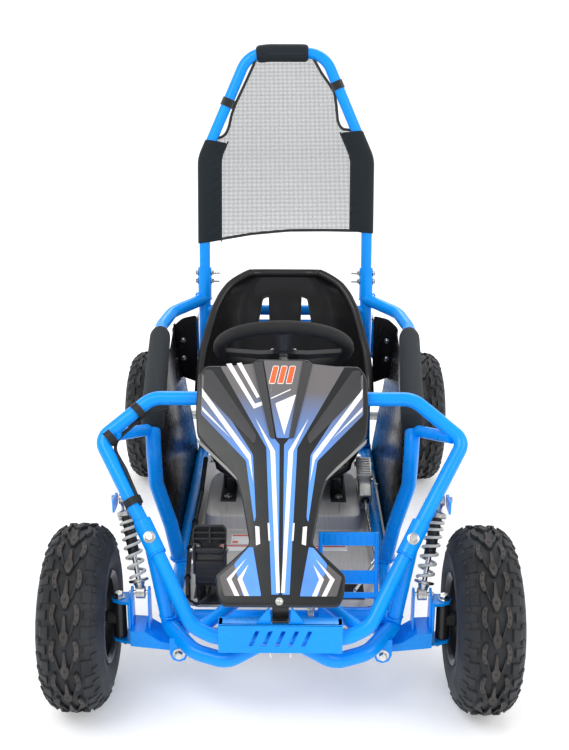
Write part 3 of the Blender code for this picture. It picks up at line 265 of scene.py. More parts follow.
BLUE = finish_material("blue_paint", (0.000, 0.300, 0.970), 0.28, coat=0.07, grain=420, grain_depth=0.06,
                       vary=0.05, mottle=9, rough_vary=0.05, shine=0.24)
# black_metal and black_plastic get a lighter colour on their convex edges: a painted highlight.
BLACK_METAL = finish_material("black_metal", (0.014, 0.014, 0.015), 0.42, coat=0.3, grain=500,
                              grain_depth=0.18, edge_highlight=(0.05, 0.05, 0.052))
BLACK_PLASTIC = finish_material("black_plastic", (0.017, 0.017, 0.019), 0.46, grain=900, grain_depth=0.30,
                                edge_highlight=(0.045, 0.045, 0.048))
SEAT_PLASTIC = finish_material("seat_plastic", (0.009, 0.009, 0.010), 0.34, coat=0.15, grain=700,
                               grain_depth=0.22, rough_vary=0.1)
GLOSS_BLACK = finish_material("gloss_black", (0.009, 0.008, 0.009), 0.26, coat=0.0, grain=60,
                              grain_depth=0.05, rough_vary=0.10, shine=0.14)
# panel_black gets a lighter colour on its convex edges: a painted highlight.
PANEL_BLACK = finish_material("panel_black", (0.013, 0.014, 0.015), 0.30, coat=0.12, grain=500,
                              grain_depth=0.08, edge_highlight=(0.06, 0.06, 0.065))
GRIP = finish_material("grip_foam", (0.016, 0.016, 0.017), 0.72, grain=1400, grain_depth=0.55)
RUBBER = finish_material("tyre_rubber", (0.021, 0.023, 0.026), 0.62, grain=800, grain_depth=0.35,
                         vary=0.3, mottle=20, rough_vary=0.12)
TREAD_TOP = finish_material("tread_top", (0.058, 0.053, 0.050), 0.85, grain=500, grain_depth=0.4,
                            vary=0.25, mottle=35)
CABLE = finish_material("cable_sheath", (0.014, 0.014, 0.015), 0.50, grain=900, grain_depth=0.2)
FOAM = weave_material("pad_cover", (0.008, 0.011, 0.014), (0.022, 0.030, 0.037), 0.0011, sheen=0.04)
NET = weave_material("net_thread", (0.095, 0.108, 0.120), (0.165, 0.185, 0.205), 0.0009, sheen=0.1)
WEBBING = weave_material("webbing", (0.008, 0.008, 0.009), (0.030, 0.030, 0.032), 0.0013, depth=0.8)
SHEET = sheet_material("floor_sheet")
STEEL = finish_material("zinc_steel", (0.62, 0.62, 0.60), 0.28, metal=1.0, grain=500, grain_depth=0.12,
                        vary=0.12, mottle=60)
BRUSHED = finish_material("turned_steel", (0.50, 0.50, 0.49), 0.34, metal=1.0, grain=300, grain_depth=0.1,
                          mottle=30, stretch=(6, 1, 1))
CHROME = finish_material("chrome_plate", (0.82, 0.82, 0.84), 0.09, metal=1.0, grain=200, grain_depth=0.02,
                         vary=0.04, rough_vary=0.04)
ALLOY = finish_material("cast_alloy", (0.60, 0.60, 0.59), 0.40, metal=1.0, grain=700, grain_depth=0.6,
                        vary=0.12, mottle=40)
SPRING_PAINT = finish_material("spring_enamel", (0.56, 0.57, 0.54), 0.33, coat=0.4, grain=300,
                               grain_depth=0.05, vary=0.06)
GREY_BLUE_PRINT = print_material("print_centre", (0.150, 0.140, 0.145), (0.110, 0.330, 0.900), 0.545, 0.440)
WING_PRINT = print_material("print_wing", (0.150, 0.140, 0.145), (0.110, 0.330, 0.900), 0.540, 0.430)
FIN_GREY = finish_material("print_grey", (0.120, 0.112, 0.115), 0.34, coat=0.4, grain=260, grain_depth=0.05)
FIN_BLUE = finish_material("print_blue", (0.100, 0.300, 0.880), 0.34, coat=0.4, grain=260, grain_depth=0.05)
WHITE = finish_material("print_white", (0.86, 0.86, 0.87), 0.34, coat=0.4, grain=260, grain_depth=0.05,
                        vary=0.03)
ORANGE = finish_material("print_orange", (0.860, 0.130, 0.030), 0.34, coat=0.4, grain=260, grain_depth=0.05)
RED = finish_material("label_red", (0.600, 0.045, 0.020), 0.40, coat=0.3, grain=260, grain_depth=0.05)
HUB_CAP = finish_material("hub_cap", (0.42, 0.42, 0.40), 0.35, grain=300, grain_depth=0.1)
SKIRT_GREY = finish_material("panel_edge", (0.230, 0.225, 0.220), 0.45, grain=500, grain_depth=0.15)


# ---- mesh helpers -------------------------------------------------------------------------
def piece(name, bm, look, body=CHASSIS, replaces=(), sharp=35, more_looks=()):
    """Turn a bmesh into a piece that rides on a body."""
    bmesh.ops.recalc_face_normals(bm, faces=bm.faces)
    mesh = bpy.data.meshes.new(name)
    bm.to_mesh(mesh)
    bm.free()
    made = bpy.data.objects.new(name, mesh)
    bpy.context.collection.objects.link(made)
    for one in (look, *more_looks):
        mesh.materials.append(one)
    mesh.shade_smooth()
    mesh.set_sharp_from_angle(angle=math.radians(sharp))
    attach(made, body)
    if replaces:
        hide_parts(*replaces)
    return made


def level_pair(axis):
    axis = Vector(axis).normalized()
    level = axis.cross(Z_AXIS if abs(axis.z) < 0.9 else Y_AXIS).normalized()
    return level, axis.cross(level)


def ring(centre, across, up, radius, sides):
    turns = [2 * math.pi * (i + 0.5) / sides for i in range(sides)]
    return [Vector(centre) + radius * (math.cos(t) * across + math.sin(t) * up) for t in turns]


def add_skin(bm, rings, closed=False, look=0):
    loops = [[bm.verts.new(p) for p in one] for one in rings]
    count = len(rings[0])
    pairs = list(zip(loops, loops[1:])) + ([(loops[-1], loops[0])] if closed else [])
    for low, high in pairs:
        for i in range(count):
            j = (i + 1) % count
            bm.faces.new((low[i], low[j], high[j], high[i])).material_index = look
    if not closed:
        bm.faces.new(list(reversed(loops[0]))).material_index = look
        bm.faces.new(loops[-1]).material_index = look


def bent(points, radius, steps=9):
    """A polyline whose corners are replaced by arcs."""
    points = [Vector(p) for p in points]
    path = [points[0]]
    if isinstance(radius, float):
        radius = [radius] * len(points)
    for before, corner, after, round_off in zip(points, points[1:], points[2:], radius):
        back, ahead = (before - corner).normalized(), (after - corner).normalized()
        half = math.acos(max(-1.0, min(1.0, back.dot(ahead)))) / 2
        if half > math.radians(89):
            path.append(corner)
            continue
        reach = min(round_off / math.tan(half), 0.45 * (before - corner).length,
                    0.45 * (after - corner).length)
        middle = corner + (back + ahead).normalized() * reach / math.cos(half)
        start, end = corner + back * reach - middle, corner + ahead * reach - middle
        swept = start.angle(end)
        for i in range(steps + 1):
            t = i / steps
            arc = (math.sin((1 - t) * swept) * start + math.sin(t * swept) * end) / math.sin(swept)
            path.append(middle + arc)
    path.append(points[-1])
    return path


def add_sweep(bm, path, radius, sides=24, closed=False, look=0):
    """A round bar along a path, without twist; its radius may be a function of the way along."""
    rings, across = [], None
    count = len(path)
    for i, point in enumerate(path):
        before = path[i - 1] if closed or i else point
        after = path[(i + 1) % count] if closed or i < count - 1 else point
        tangent = (after - before).normalized()
        if across is None:
            across = level_pair(tangent)[0]
        across = (across - tangent * across.dot(tangent)).normalized()
        size = radius(i / (count - 1)) if callable(radius) else radius
        rings.append(ring(point, across, tangent.cross(across), size, sides))
    add_skin(bm, rings, closed, look=look)


def add_rod(bm, start, end, radius, sides=24, look=0):
    add_sweep(bm, [Vector(start), Vector(end)], radius, sides, look=look)


def add_lathe(bm, centre, axis, profile, sides=48, closed=False, look=0):
    """Turn (distance along the axis, radius) points about the axis."""
    axis = Vector(axis).normalized()
    across, up = level_pair(axis)
    add_skin(bm, [ring(Vector(centre) + axis * d, across, up, r, sides) for d, r in profile], closed,
             look=look)


def add_plate(bm, outline, offset, look=0, draft=1.0):
    """A flat plate: outline at its base, moved by offset to its face, which draft may shrink."""
    base = [Vector(p) for p in outline]
    middle = sum(base, Vector()) / len(base)
    face = [middle + (p - middle) * draft + Vector(offset) for p in base]
    low, high = [bm.verts.new(p) for p in base], [bm.verts.new(p) for p in face]
    count = len(base)
    for i in range(count):
        j = (i + 1) % count
        bm.faces.new((low[i], low[j], high[j], high[i])).material_index = look
    bm.faces.new(list(reversed(low))).material_index = look
    bm.faces.new(high).material_index = look


def add_box(bm, low, high, bevel=0.0015, look=0, turn=None):
    """A box with rounded edges; turn is a matrix put on it about its own middle."""
    low, high = Vector(low), Vector(high)
    middle = (low + high) / 2
    made = bmesh.ops.create_cube(bm, size=1.0)["verts"]
    place = Matrix.Translation(middle) @ (turn or Matrix.Identity(4)) @ Matrix.Diagonal((*(high - low),
                                                                                         1.0))
    bmesh.ops.transform(bm, matrix=place, verts=made)
    faces = set(f for v in made for f in v.link_faces)
    for f in faces:
        f.material_index = look
    edges = set(e for v in made for e in v.link_edges)
    if bevel:
        done = bmesh.ops.bevel(bm, geom=list(edges), offset=bevel, segments=3, affect="EDGES", profile=0.5)
        for f in done["faces"]:
            f.material_index = look


def add_bolt(bm, head, axis, size=0.006, washer=True, look=0, domed=False):
    """A bolt head on its washer; head is the point on the surface and axis points out of it."""
    head, axis = Vector(head), Vector(axis).normalized()
    if washer:
        add_lathe(bm, head, axis, ((0, size * 1.35), (0.0009, size * 1.4), (0.0013, size * 1.3)), 20,
                  look=look)
    start = head + axis * (0.0013 if washer else 0)
    if domed:
        add_lathe(bm, start, axis, ((0, size), (size * 0.35, size * 0.92), (size * 0.6, size * 0.6),
                                    (size * 0.66, size * 0.25)), 18, look=look)
    else:
        add_lathe(bm, start, axis,
                  ((0, size * 1.0), (size * 0.75, size * 1.0), (size * 0.9, size * 0.85)), 6,
                  look=look)


def add_nut(bm, head, axis, size=0.006, stud=0.006, look=0):
    head, axis = Vector(head), Vector(axis).normalized()
    add_lathe(bm, head, axis, ((0, size * 1.4), (0.001, size * 1.4)), 20, look=look)
    add_lathe(bm, head + axis * 0.001, axis, ((0, size * 0.9), (0.0008, size), (size * 0.8, size),
                                              (size * 0.95, size * 0.85)), 6, look=look)
    add_rod(bm, head, head + axis * (size + stud), size * 0.5, 12, look=look)


def add_band(bm, centre, axis, radius, width=0.005, thick=0.0012, tail=None):
    """A strap or cable tie pulled round a round thing, with its locking head."""
    axis = Vector(axis).normalized()
    half = width / 2
    add_lathe(bm, centre, axis, ((-half, radius), (half, radius), (half, radius + thick),
                                 (-half, radius + thick)), 28, closed=True)
    if tail is not None:
        side = Vector(tail).normalized()
        side = (side - axis * side.dot(axis)).normalized()
        spot = Vector(centre) + side * (radius + thick)
        cross = axis.cross(side)
        add_plate(bm, [spot + cross * a + axis * b
                       for a, b in ((-0.003, -half), (0.003, -half), (0.003, half),
                                                               (-0.003, half))], side * 0.003)


def subdivide(obj, levels=2):
    made = obj.modifiers.new("smooth", "SUBSURF")
    made.levels = made.render_levels = levels
    return obj


def blue_tube(name, points, radius, bend=0.05, replaces=()):
    """A painted tube; bend is one radius for every corner, or one for each corner."""
    bm = bmesh.new()
    add_sweep(bm, bent(points, bend), radius, 28)
    return piece(name, bm, BLUE, replaces=replaces)


# ---- tube frame ---------------------------------------------------------------------------
def side_tube_points(side):
    path = [roll_point(0.188, 0.522), (0.262, 0.275, 0.506), (0.281, 0.205, 0.492), (0.245, -0.270, 0.462),
            (0.240, -0.318, 0.420), (0.239, -0.305, 0.335), (0.214, -0.300, 0.245), (0.200, -0.300, 0.172)]
    return [mirrored(p, side) for p in path]


def weld(bm, centre, axis, radius, seed):
    """A hand-laid weld bead: a ring of small overlapping drops."""
    draw = random.Random(seed)
    across, up = level_pair(axis)
    count = max(14, int(2 * math.pi * radius / 0.0034))
    rings = []
    for i in range(count):
        turn = 2 * math.pi * i / count
        out = math.cos(turn) * across + math.sin(turn) * up
        along = Vector(axis).normalized()
        size = 0.0021 + 0.0007 * math.cos(math.pi * i) + draw.uniform(-0.0002, 0.0002)
        rings.append([Vector(centre) + out * (radius + math.cos(a) * size) + along * math.sin(a) * size
                      for a in (math.pi * k / 3 for k in range(6))])
    add_skin(bm, rings, closed=True)


def build_frame():
    loop = [leg_point(SLEEVE_Z[0] + 0.006), LEG_FOOT, (0.112, -0.605, 0.190)]
    loop = [Vector(p) for p in loop]
    loop += [mirrored(p, -1) for p in reversed(loop)]
    blue_tube("frame_front_loop", loop, HOOP_TUBE, 0.045, replaces=("main_frame",))
    welds = bmesh.new()
    for side, word in SIDES:
        rail = [(0.196, 0.600, REAR_RAIL_Z), (0.196, 0.450, REAR_RAIL_Z), (0.196, 0.350, RAIL_Z),
                (0.196, -0.380, RAIL_Z), (0.201, -0.510, 0.157), (0.150, -0.575, 0.142),
                (0.092, -0.592, 0.134), (0.040, -0.592, 0.166)]
        blue_tube("frame_rail_" + word, [mirrored(p, side) for p in rail], RAIL_TUBE)
        blue_tube("frame_side_tube_" + word, side_tube_points(side), RAIL_TUBE, 0.06)
        tower_top = leg_point(SLEEVE_Z[0] + 0.012, side) + Vector((side * 0.004, 0.006, 0))
        blue_tube("frame_tower_" + word, [tower_top, (side * 0.200, -0.506, 0.158)], 0.0125)
        foot, top = roll_point(side * ROLL_X, RAIL_Z), roll_point(side * ROLL_X, 0.530)
        blue_tube("frame_upright_" + word, [foot, top], RAIL_TUBE)
        bm = bmesh.new()
        axis = (roll_point(0, 0.593) - roll_point(0, 0.520)).normalized()
        low = roll_point(side * ROLL_X, 0.520)
        length = (roll_point(0, 0.593) - roll_point(0, 0.520)).length
        add_lathe(bm, low, axis, ((0, 0.0145), (0.001, SLEEVE_TUBE), (length - 0.0008, SLEEVE_TUBE),
                                  (length, SLEEVE_TUBE - 0.0008), (length, 0.0131)), 32)
        weld(welds, low, axis, 0.0150, 11 + side)
        sleeve_axis = (leg_point(0.347, side) - leg_point(0.302, side)).normalized()
        sleeve_foot = leg_point(SLEEVE_Z[0], side)
        length = (leg_point(SLEEVE_Z[1], side) - sleeve_foot).length
        add_lathe(bm, sleeve_foot, sleeve_axis,
                  ((0, 0.0132), (0.001, SLEEVE_TUBE), (length - 0.001, SLEEVE_TUBE),
                                                 (length, SLEEVE_TUBE - 0.001), (length, 0.0131)), 32)
        piece("frame_sockets_" + word, bm, BLUE)
        blue_tube("frame_rear_stay_" + word,
                  [roll_point(side * ROLL_X, 0.440), (side * 0.194, 0.560, 0.330),
                                             (side * 0.196, 0.590, REAR_RAIL_Z)], CROSS_TUBE)
        blue_tube("frame_hoop_brace_" + word,
                  [(side * 0.302, -0.394, 0.468), (side * 0.247, -0.296, 0.442)],
                  CROSS_TUBE)
        blue_tube("frame_bumper_brace_" + word,
                  [(side * 0.140, -0.598, 0.197), (side * 0.045, -0.500, 0.226),
                                                (side * 0.016, -0.345, 0.212)], CROSS_TUBE)
        weld(welds, (side * 0.200, -0.506, 0.172), Z_AXIS, 0.0140, 21 + side)
        weld(welds, (side * 0.2010, -0.300, 0.1752), Z_AXIS, 0.0150, 31 + side)
        weld(welds, roll_point(side * ROLL_X, 0.175), roll_point(0, 1) - roll_point(0, 0), 0.0150,
             41 + side)
        weld(welds, roll_point(side * 0.2065, 0.518), (side, -0.5, -0.1), 0.0150, 51 + side)
        weld(welds, sleeve_foot - sleeve_axis * 0.001, sleeve_axis, 0.0140, 61 + side)
        build_brackets(side, word)
    piece("frame_welds", welds, BLUE, sharp=80)
    bm = bmesh.new()
    crossings = ((-0.484, 0.158), (-0.190, 0.152), (0.085, 0.152), (0.290, RAIL_Z - 0.002),
                 (0.345, RAIL_Z - 0.002), (0.588, REAR_RAIL_Z))
    for y, z in crossings:
        add_rod(bm, (-0.196, y, z), (0.196, y, z), CROSS_TUBE, 28)
    for z in (0.494, 0.461):
        add_rod(bm, roll_point(-ROLL_X, z), roll_point(ROLL_X, z), 0.0120, 28)
    for x in (-0.070, 0.070):
        add_rod(bm, (x, 0.2612, 0.445), roll_point(x, 0.461), 0.0070, 20)
    for low, high in (((-0.118, 0.270, 0.1660), (0.020, 0.390, 0.1700)),
                      ((-0.104, 0.360, 0.1500), (-0.0905, 0.470, 0.1680))):
        add_box(bm, low, high, 0.001)
    piece("frame_cross_tubes", bm, BLUE)
    bm = bmesh.new()
    axis = (column_point(0.395) - column_point(0.440)).normalized()
    add_lathe(bm, column_point(0.440), axis, ((0, 0.0112), (0, 0.0170), (0.001, 0.0180), (0.044, 0.0180),
                                              (0.045, 0.0170), (0.045, 0.0112)), 32, closed=True)
    piece("frame_column_bearing", bm, BLUE)


def build_brackets(side, word):
    """Lugs under the rail for the swing arm's pin, the bearing shelf and the guard gussets."""
    bm = bmesh.new()
    for y in (-0.549, -0.451):
        outline = [(side * (0.178 + x), y - 0.003, z) for x, z in
                   ((-0.016, 0.152), (-0.016, 0.122), (-0.011, 0.110), (0, 0.106), (0.011, 0.110),
                    (0.016, 0.122), (0.016, 0.152))]
        add_plate(bm, outline, (0, 0.006, 0))
    x = side * 0.196
    add_box(bm, (x - 0.021, REAR_Y - 0.045, 0.2165), (x + 0.021, REAR_Y + 0.045, 0.2235), 0.001)
    gusset = [(0.203, 0.296, 0.505), (0.214, 0.292, 0.440), (0.222, 0.288, 0.372), (0.203, 0.300, 0.392)]
    add_plate(bm, [mirrored(p, side) for p in gusset], (0, -0.003, 0))
    piece("frame_brackets_" + word, bm, BLUE, sharp=25)


def build_bumper():
    """Front plate with slanted slots under its folded top edge, and the nose gussets."""
    low, high = 0.170, 0.224
    half = 0.104
    bm = bmesh.new()
    slot_low, slot_high = 0.183, 0.212
    edges = []
    for i in range(5):
        middle = -0.044 + 0.022 * i
        edges.append((middle - 0.0095, middle - 0.0025, middle + 0.0025, middle + 0.0095))
    y = PLATE_Y

    def slab(corners):
        add_plate(bm, [(x, y, z) for x, z in corners], (0, 0.0035, 0))

    slab(((-half, low), (half, low), (half, slot_low), (-half, slot_low)))
    slab(((-half, slot_high), (half, slot_high), (half, high), (-half, high)))
    left_bottom, left_top = -half, -half
    for low_a, low_b, high_a, high_b in edges:
        slab(((left_bottom, slot_low), (low_a, slot_low), (high_a, slot_high), (left_top, slot_high)))
        left_bottom, left_top = low_b, high_b
    slab(((left_bottom, slot_low), (half, slot_low), (half, slot_high), (left_top, slot_high)))
    add_box(bm, (-half, y, high - 0.0035), (half, y + 0.026, high), 0.0012)
    for side in (-1, 1):
        add_box(bm, (side * 0.100 - 0.004, y + 0.001, low), (side * 0.100 + 0.004, -0.600, high), 0.001)
        gusset = [(side * 0.016, y + 0.006, high), (side * 0.040, y + 0.006, high),
                  (side * 0.018, y + 0.010, 0.252)]
        add_plate(bm, gusset, (0, 0.004, 0))
    piece("bumper_plate", bm, BLUE, sharp=25)
    bm = bmesh.new()
    for side in (-1, 1):
        add_nut(bm, (side * 0.017, -0.604, 0.166), -Z_AXIS, 0.0052, 0.010)
    piece("bumper_nuts", bm, STEEL)


def build_front_hoop():
    left = [leg_point(SLEEVE_Z[0] + 0.014), LEG_TOP + Vector((0.005, 0, 0.001)),
            Vector((0.2350, HOOP_Y, HOOP_Z))]
    path = left + [mirrored(p, -1) for p in reversed(left)]
    blue_tube("hoop_front", path, HOOP_TUBE, (0.024, 0.046, 0.046, 0.024), replaces=("front_hoop",))
    bm, bolts = bmesh.new(), bmesh.new()
    for side, _ in SIDES:
        top = mirrored(SHOCK_TOP, side)
        outline = [(-0.038, -0.010), (0.000, -0.012), (0.008, -0.006), (0.0095, 0.0), (0.007, 0.007),
                   (0.000, 0.011), (-0.038, 0.014)]
        for shift in (-0.0135, 0.0135):
            x = top.x + shift
            add_plate(bm, [(x - 0.00175, top.y + y, top.z + z) for y, z in outline], (0.0035, 0, 0))
        inner = column_point(0.165) + Vector((side * 0.008, 0, 0))
        add_rod(bm, (side * 0.100, HOOP_Y, HOOP_Z), inner, 0.0080)
        add_box(bm, (side * 0.130 - 0.012, HOOP_Y - 0.031, HOOP_Z - 0.012),
                (side * 0.130 + 0.012, HOOP_Y, HOOP_Z + 0.004), 0.001)
        add_bolt(bolts, top + X_AXIS * side * 0.0155, X_AXIS * side, 0.0062)
        add_nut(bolts, top - X_AXIS * side * 0.0155, -X_AXIS * side, 0.0058, 0.004)
        along = (leg_point(0.347, side) - leg_point(0.302, side)).normalized()
        front = Vector((-side * 0.15, -1, 0.45))
        front = (front - along * front.dot(along)).normalized()
        add_bolt(bolts, leg_point(0.322, side) + front * 0.0156, front, 0.0074)
    axis = (column_point(0.145) - column_point(0.185)).normalized()
    add_lathe(bm, column_point(0.185), axis, ((0, 0.0112), (0, 0.0168), (0.001, 0.0175), (0.039, 0.0175),
                                              (0.040, 0.0168), (0.040, 0.0112)), 32, closed=True)
    piece("hoop_brackets", bm, BLUE, sharp=25)
    piece("hoop_bolts", bolts, STEEL)


def build_roll_hoop():
    path = [roll_point(ROLL_X, 0.540), roll_point(ROLL_X, 0.843), roll_point(0.087, ROLL_TOP_Z)]
    path += [Vector((-p.x, p.y, p.z)) for p in reversed(path)]
    blue_tube("hoop_roll", path, HOOP_TUBE, 0.06, replaces=("roll_hoop",))
    bolts = bmesh.new()
    for side, _ in SIDES:
        for z in (0.580, 0.561):
            spot = roll_point(side * ROLL_X, z)
            add_bolt(bolts, spot + X_AXIS * side * 0.0158, X_AXIS * side, 0.0058)
            add_nut(bolts, spot - X_AXIS * side * 0.0158, -X_AXIS * side, 0.0056, 0.014)
    piece("roll_hoop_bolts", bolts, STEEL)


# ---- padding and net ----------------------------------------------------------------------
PAD_PRESSURE = 4.0
PAD_VOXEL = 0.0045
CLOTH_STEPS = 20


def swell(obj, cap):
    """Fill a pad with a short cloth simulation, then keep the result as its mesh."""
    remesh = obj.modifiers.new("skin", "REMESH")
    remesh.mode = "VOXEL"
    remesh.voxel_size = PAD_VOXEL
    apply_modifiers(obj)
    rest = [v.co.copy() for v in obj.data.vertices]
    cloth = obj.modifiers.new("cloth", "CLOTH")
    cloth.settings.use_pressure = True
    cloth.settings.uniform_pressure_force = PAD_PRESSURE
    cloth.settings.effector_weights.gravity = 0
    cloth.settings.quality = 4
    scene = bpy.context.scene
    scene.frame_start, scene.frame_end = 1, CLOTH_STEPS
    cloth.point_cache.frame_start, cloth.point_cache.frame_end = 1, CLOTH_STEPS
    for step in range(1, CLOTH_STEPS + 1):
        scene.frame_set(step)
    apply_modifiers(obj)
    for vertex, start in zip(obj.data.vertices, rest):
        moved = vertex.co - start
        if moved.length > cap:
            vertex.co = start + moved.normalized() * cap
    scene.frame_set(1)
    obj.data.shade_smooth()
    return obj


def apply_modifiers(obj):
    bpy.context.view_layer.update()
    graph = bpy.context.evaluated_depsgraph_get()
    mesh = bpy.data.meshes.new_from_object(obj.evaluated_get(graph))
    obj.modifiers.clear()
    obj.data = mesh


def pad_tube(name, path, bore, outer, replaces=()):
    """A padded sleeve: foam in a cover, with pinched ends, round a tube."""
    bm = bmesh.new()
    add_sweep(bm, path, lambda t: bore + (outer - bore) * min(1.0, 0.55 + 9 * min(t, 1 - t)), 30)
    made = piece(name, bm, FOAM, replaces=replaces, sharp=60)
    swell(made, 0.004)
    relax = made.modifiers.new("relax", "SMOOTH")
    relax.factor, relax.iterations = 0.5, 3
    subdivide(made, 1)
    return made


def fine_path(points, count):
    """Even steps along a polyline."""
    points = [Vector(p) for p in points]
    lengths = [(b - a).length for a, b in zip(points, points[1:])]
    total = sum(lengths)
    path = []
    for i in range(count + 1):
        want = total * i / count
        for a, b, length in zip(points, points[1:], lengths):
            if want <= length or b is points[-1]:
                path.append(a.lerp(b, min(want / length, 1.0)))
                break
            want -= length
    return path


def flap_pad(name, path, side, slope):
    """A sewn cover folded round a tube, its two layers joined in a flat flap towards the net."""
    face = Vector((0, -math.cos(ROLL_LEAN), math.sin(ROLL_LEAN)))
    outline = []
    for i in range(25):
        a = math.radians(62 + 236 * i / 24)
        outline.append((math.cos(a) * 0.0158, math.sin(a) * 0.0158))
    back = [(0.0140, -0.0132), (0.0230, -0.0085), (0.0310, -0.0052), (0.0385, -0.0030), (0.0405, -0.0012)]
    outline += back + [(u, -v) for u, v in reversed(back)]
    rings = []
    for i, spot in enumerate(path):
        t = i / (len(path) - 1)
        pucker = 0.5 + 0.5 * math.sin(t * 47 + side) * math.sin(t * 19 + 1.3)
        row = []
        for u, v in outline:
            deep = max(0.0, min(1.0, (u - 0.004) / 0.02)) * (1.0 if v > 0 else 0.4)
            crease = 0.0042 * pucker * deep * math.sin(t * 70 + u * 190 * side)
            end = 0.0035 * (u / 0.04) * (1 - 2 * t) + slope * (u / 0.04) * (0.5 - t)
            along = (path[min(i + 1, len(path) - 1)] - path[max(i - 1, 0)]).normalized()
            row.append(spot - X_AXIS * side * u + face * (v + crease * 0.55) + along * end)
        rings.append(row)
    bm = bmesh.new()
    add_skin(bm, rings)
    made = piece(name, bm, FOAM, sharp=60)
    subdivide(made, 1)
    seam = bmesh.new()
    hem = [p - X_AXIS * side * 0.0395 + face * 0.0012 for p in path[1:-1]]
    add_sweep(seam, hem, 0.0019, 8)
    piece(name + "_hem", seam, WEBBING)


def build_pads():
    for side, word in SIDES:
        run = fine_path(bent(side_tube_points(side), 0.06), 260)
        first = next(i for i, p in enumerate(run) if p.y < 0.165)
        last = next(i for i, p in enumerate(run) if p.y < -0.296)
        pad_tube("side_pad_cover_" + word, run[first:last + 1:3], RAIL_TUBE, 0.0232,
                 replaces=("side_pad_" + word,))
        low, high, slope = (0.648, 0.882, 0.006) if side < 0 else (0.672, 0.904, 0.002)
        corner = roll_point(side * ROLL_X, 0.843)
        t = (high - 0.843) / (ROLL_TOP_Z - 0.843)
        top = roll_point(side * (ROLL_X + (0.087 - ROLL_X) * t), high)
        flap_pad("roll_pad_" + word,
                 fine_path(bent([roll_point(side * ROLL_X, low), corner, top], 0.08), 70), side,
                 slope)
    top_line = bent([roll_point(-0.0700, ROLL_TOP_Z - 0.0035), roll_point(-0.040, ROLL_TOP_Z),
                     roll_point(0.0515, ROLL_TOP_Z)], 0.03)
    pad_tube("roll_pad_top", fine_path(top_line, 30), HOOP_TUBE, 0.0205)


def build_net():
    """Open net in the roll hoop: crossing threads inside a sewn binding, tied to the tube."""
    left = [(-0.0640, 1.0800), (-0.0760, 1.0500), (-0.1000, 1.0000), (-0.1190, 0.9616), (-0.1280, 0.9364),
            (-0.1330, 0.9130), (-0.1400, 0.8970), (-0.1500, 0.8890), (-0.1640, 0.8860)]
    right = [(0.0513, 1.0860), (0.0620, 1.0660), (0.0820, 1.0320), (0.1010, 1.0067), (0.1120, 0.9900),
             (0.1170, 0.9600), (0.1200, 0.9280), (0.1250, 0.9150), (0.1330, 0.9076), (0.1540, 0.9055)]
    foot = [(0.1720, 0.6780), (0.0900, 0.6790), (0.0060, 0.6780), (-0.0800, 0.6700), (-0.1640, 0.6560)]
    outline = rounded(left[::-1] + right + foot, 0.006)
    lift = Vector((0, -0.0010, 0.0002))

    def crossings(value, axis):
        hits = []
        for p, q in zip(outline, outline[1:] + outline[:1]):
            if (p[axis] - value) * (q[axis] - value) < 0:
                share = (value - p[axis]) / (q[axis] - p[axis])
                hits.append(p[1 - axis] + (q[1 - axis] - p[1 - axis]) * share)
        return sorted(hits)

    threads = bmesh.new()
    pitch, thick = 0.0030, 0.00068
    for i in range(-58, 59):
        hits = crossings(i * pitch + 0.0001, 0)
        for low, high in zip(hits[::2], hits[1::2]):
            add_rod(threads, roll_point(i * pitch, low), roll_point(i * pitch, high), thick, 4)
    for i in range(1, 146):
        z = 0.6551 + i * pitch
        hits = crossings(z, 1)
        for low, high in zip(hits[::2], hits[1::2]):
            add_rod(threads, roll_point(low, z) + lift, roll_point(high, z) + lift, thick, 4)
    piece("net_threads", threads, NET, replaces=("roll_net",))
    bm = bmesh.new()
    add_sweep(bm, [roll_point(x, z) + lift for x, z in outline], 0.0034, 10, closed=True)
    piece("net_binding", bm, WEBBING)
    bm = bmesh.new()
    for side, z, reach in ((-1, 0.966, 0.121), (1, 1.005, 0.104)):
        t = (z - 0.843) / (ROLL_TOP_Z - 0.843)
        x = side * (ROLL_X + (0.087 - ROLL_X) * t)
        spot = roll_point(x, z)
        along = (roll_point(side * 0.087, ROLL_TOP_Z) - roll_point(side * ROLL_X, 0.843)).normalized()
        inward = roll_point(side * reach, z - 0.004)
        add_band(bm, spot, along, HOOP_TUBE + 0.0004, 0.019, 0.0018)
        width = along * 0.008
        add_plate(bm, [spot - width, spot + width, inward + width, inward - width], (0, -0.0022, 0))
        behind = Vector((0, 0.0045, 0))
        add_plate(bm, [p + behind for p in (spot - width, spot + width, inward + width, inward - width)],
                  (0, 0.0020, 0))
    piece("net_ties", bm, WEBBING)


SHOCK_TOP = Vector((0.281, -0.430, 0.363))
SHOCK_FOOT = Vector((0.248, -0.500, 0.214))
TIE_BALL = Vector((0.284, -0.450, 0.086))
PITMAN = Vector((0.020, -0.392, 0.088))
ARM_PIVOT = Vector((0.178, -0.5, 0.122))
KINGPIN_X = 0.287
THROTTLE = Vector((-0.130, -0.430, 0.260))
BRAKE = Vector((0.1196, -0.484, 0.158))
CYLINDER = Vector((0.172, -0.100, 0.206))
TYRE_RADIUS = 0.165


# ---- wheels -------------------------------------------------------------------------------
def carcass_radius(x):
    """Height of the tyre's smooth carcass at a distance from its middle plane."""
    a = abs(x)
    if a < 0.040:
        return 0.1585 - 0.0020 * (a / 0.040) ** 2
    return 0.1565 - 0.0145 * ((a - 0.040) / 0.017) ** 1.8


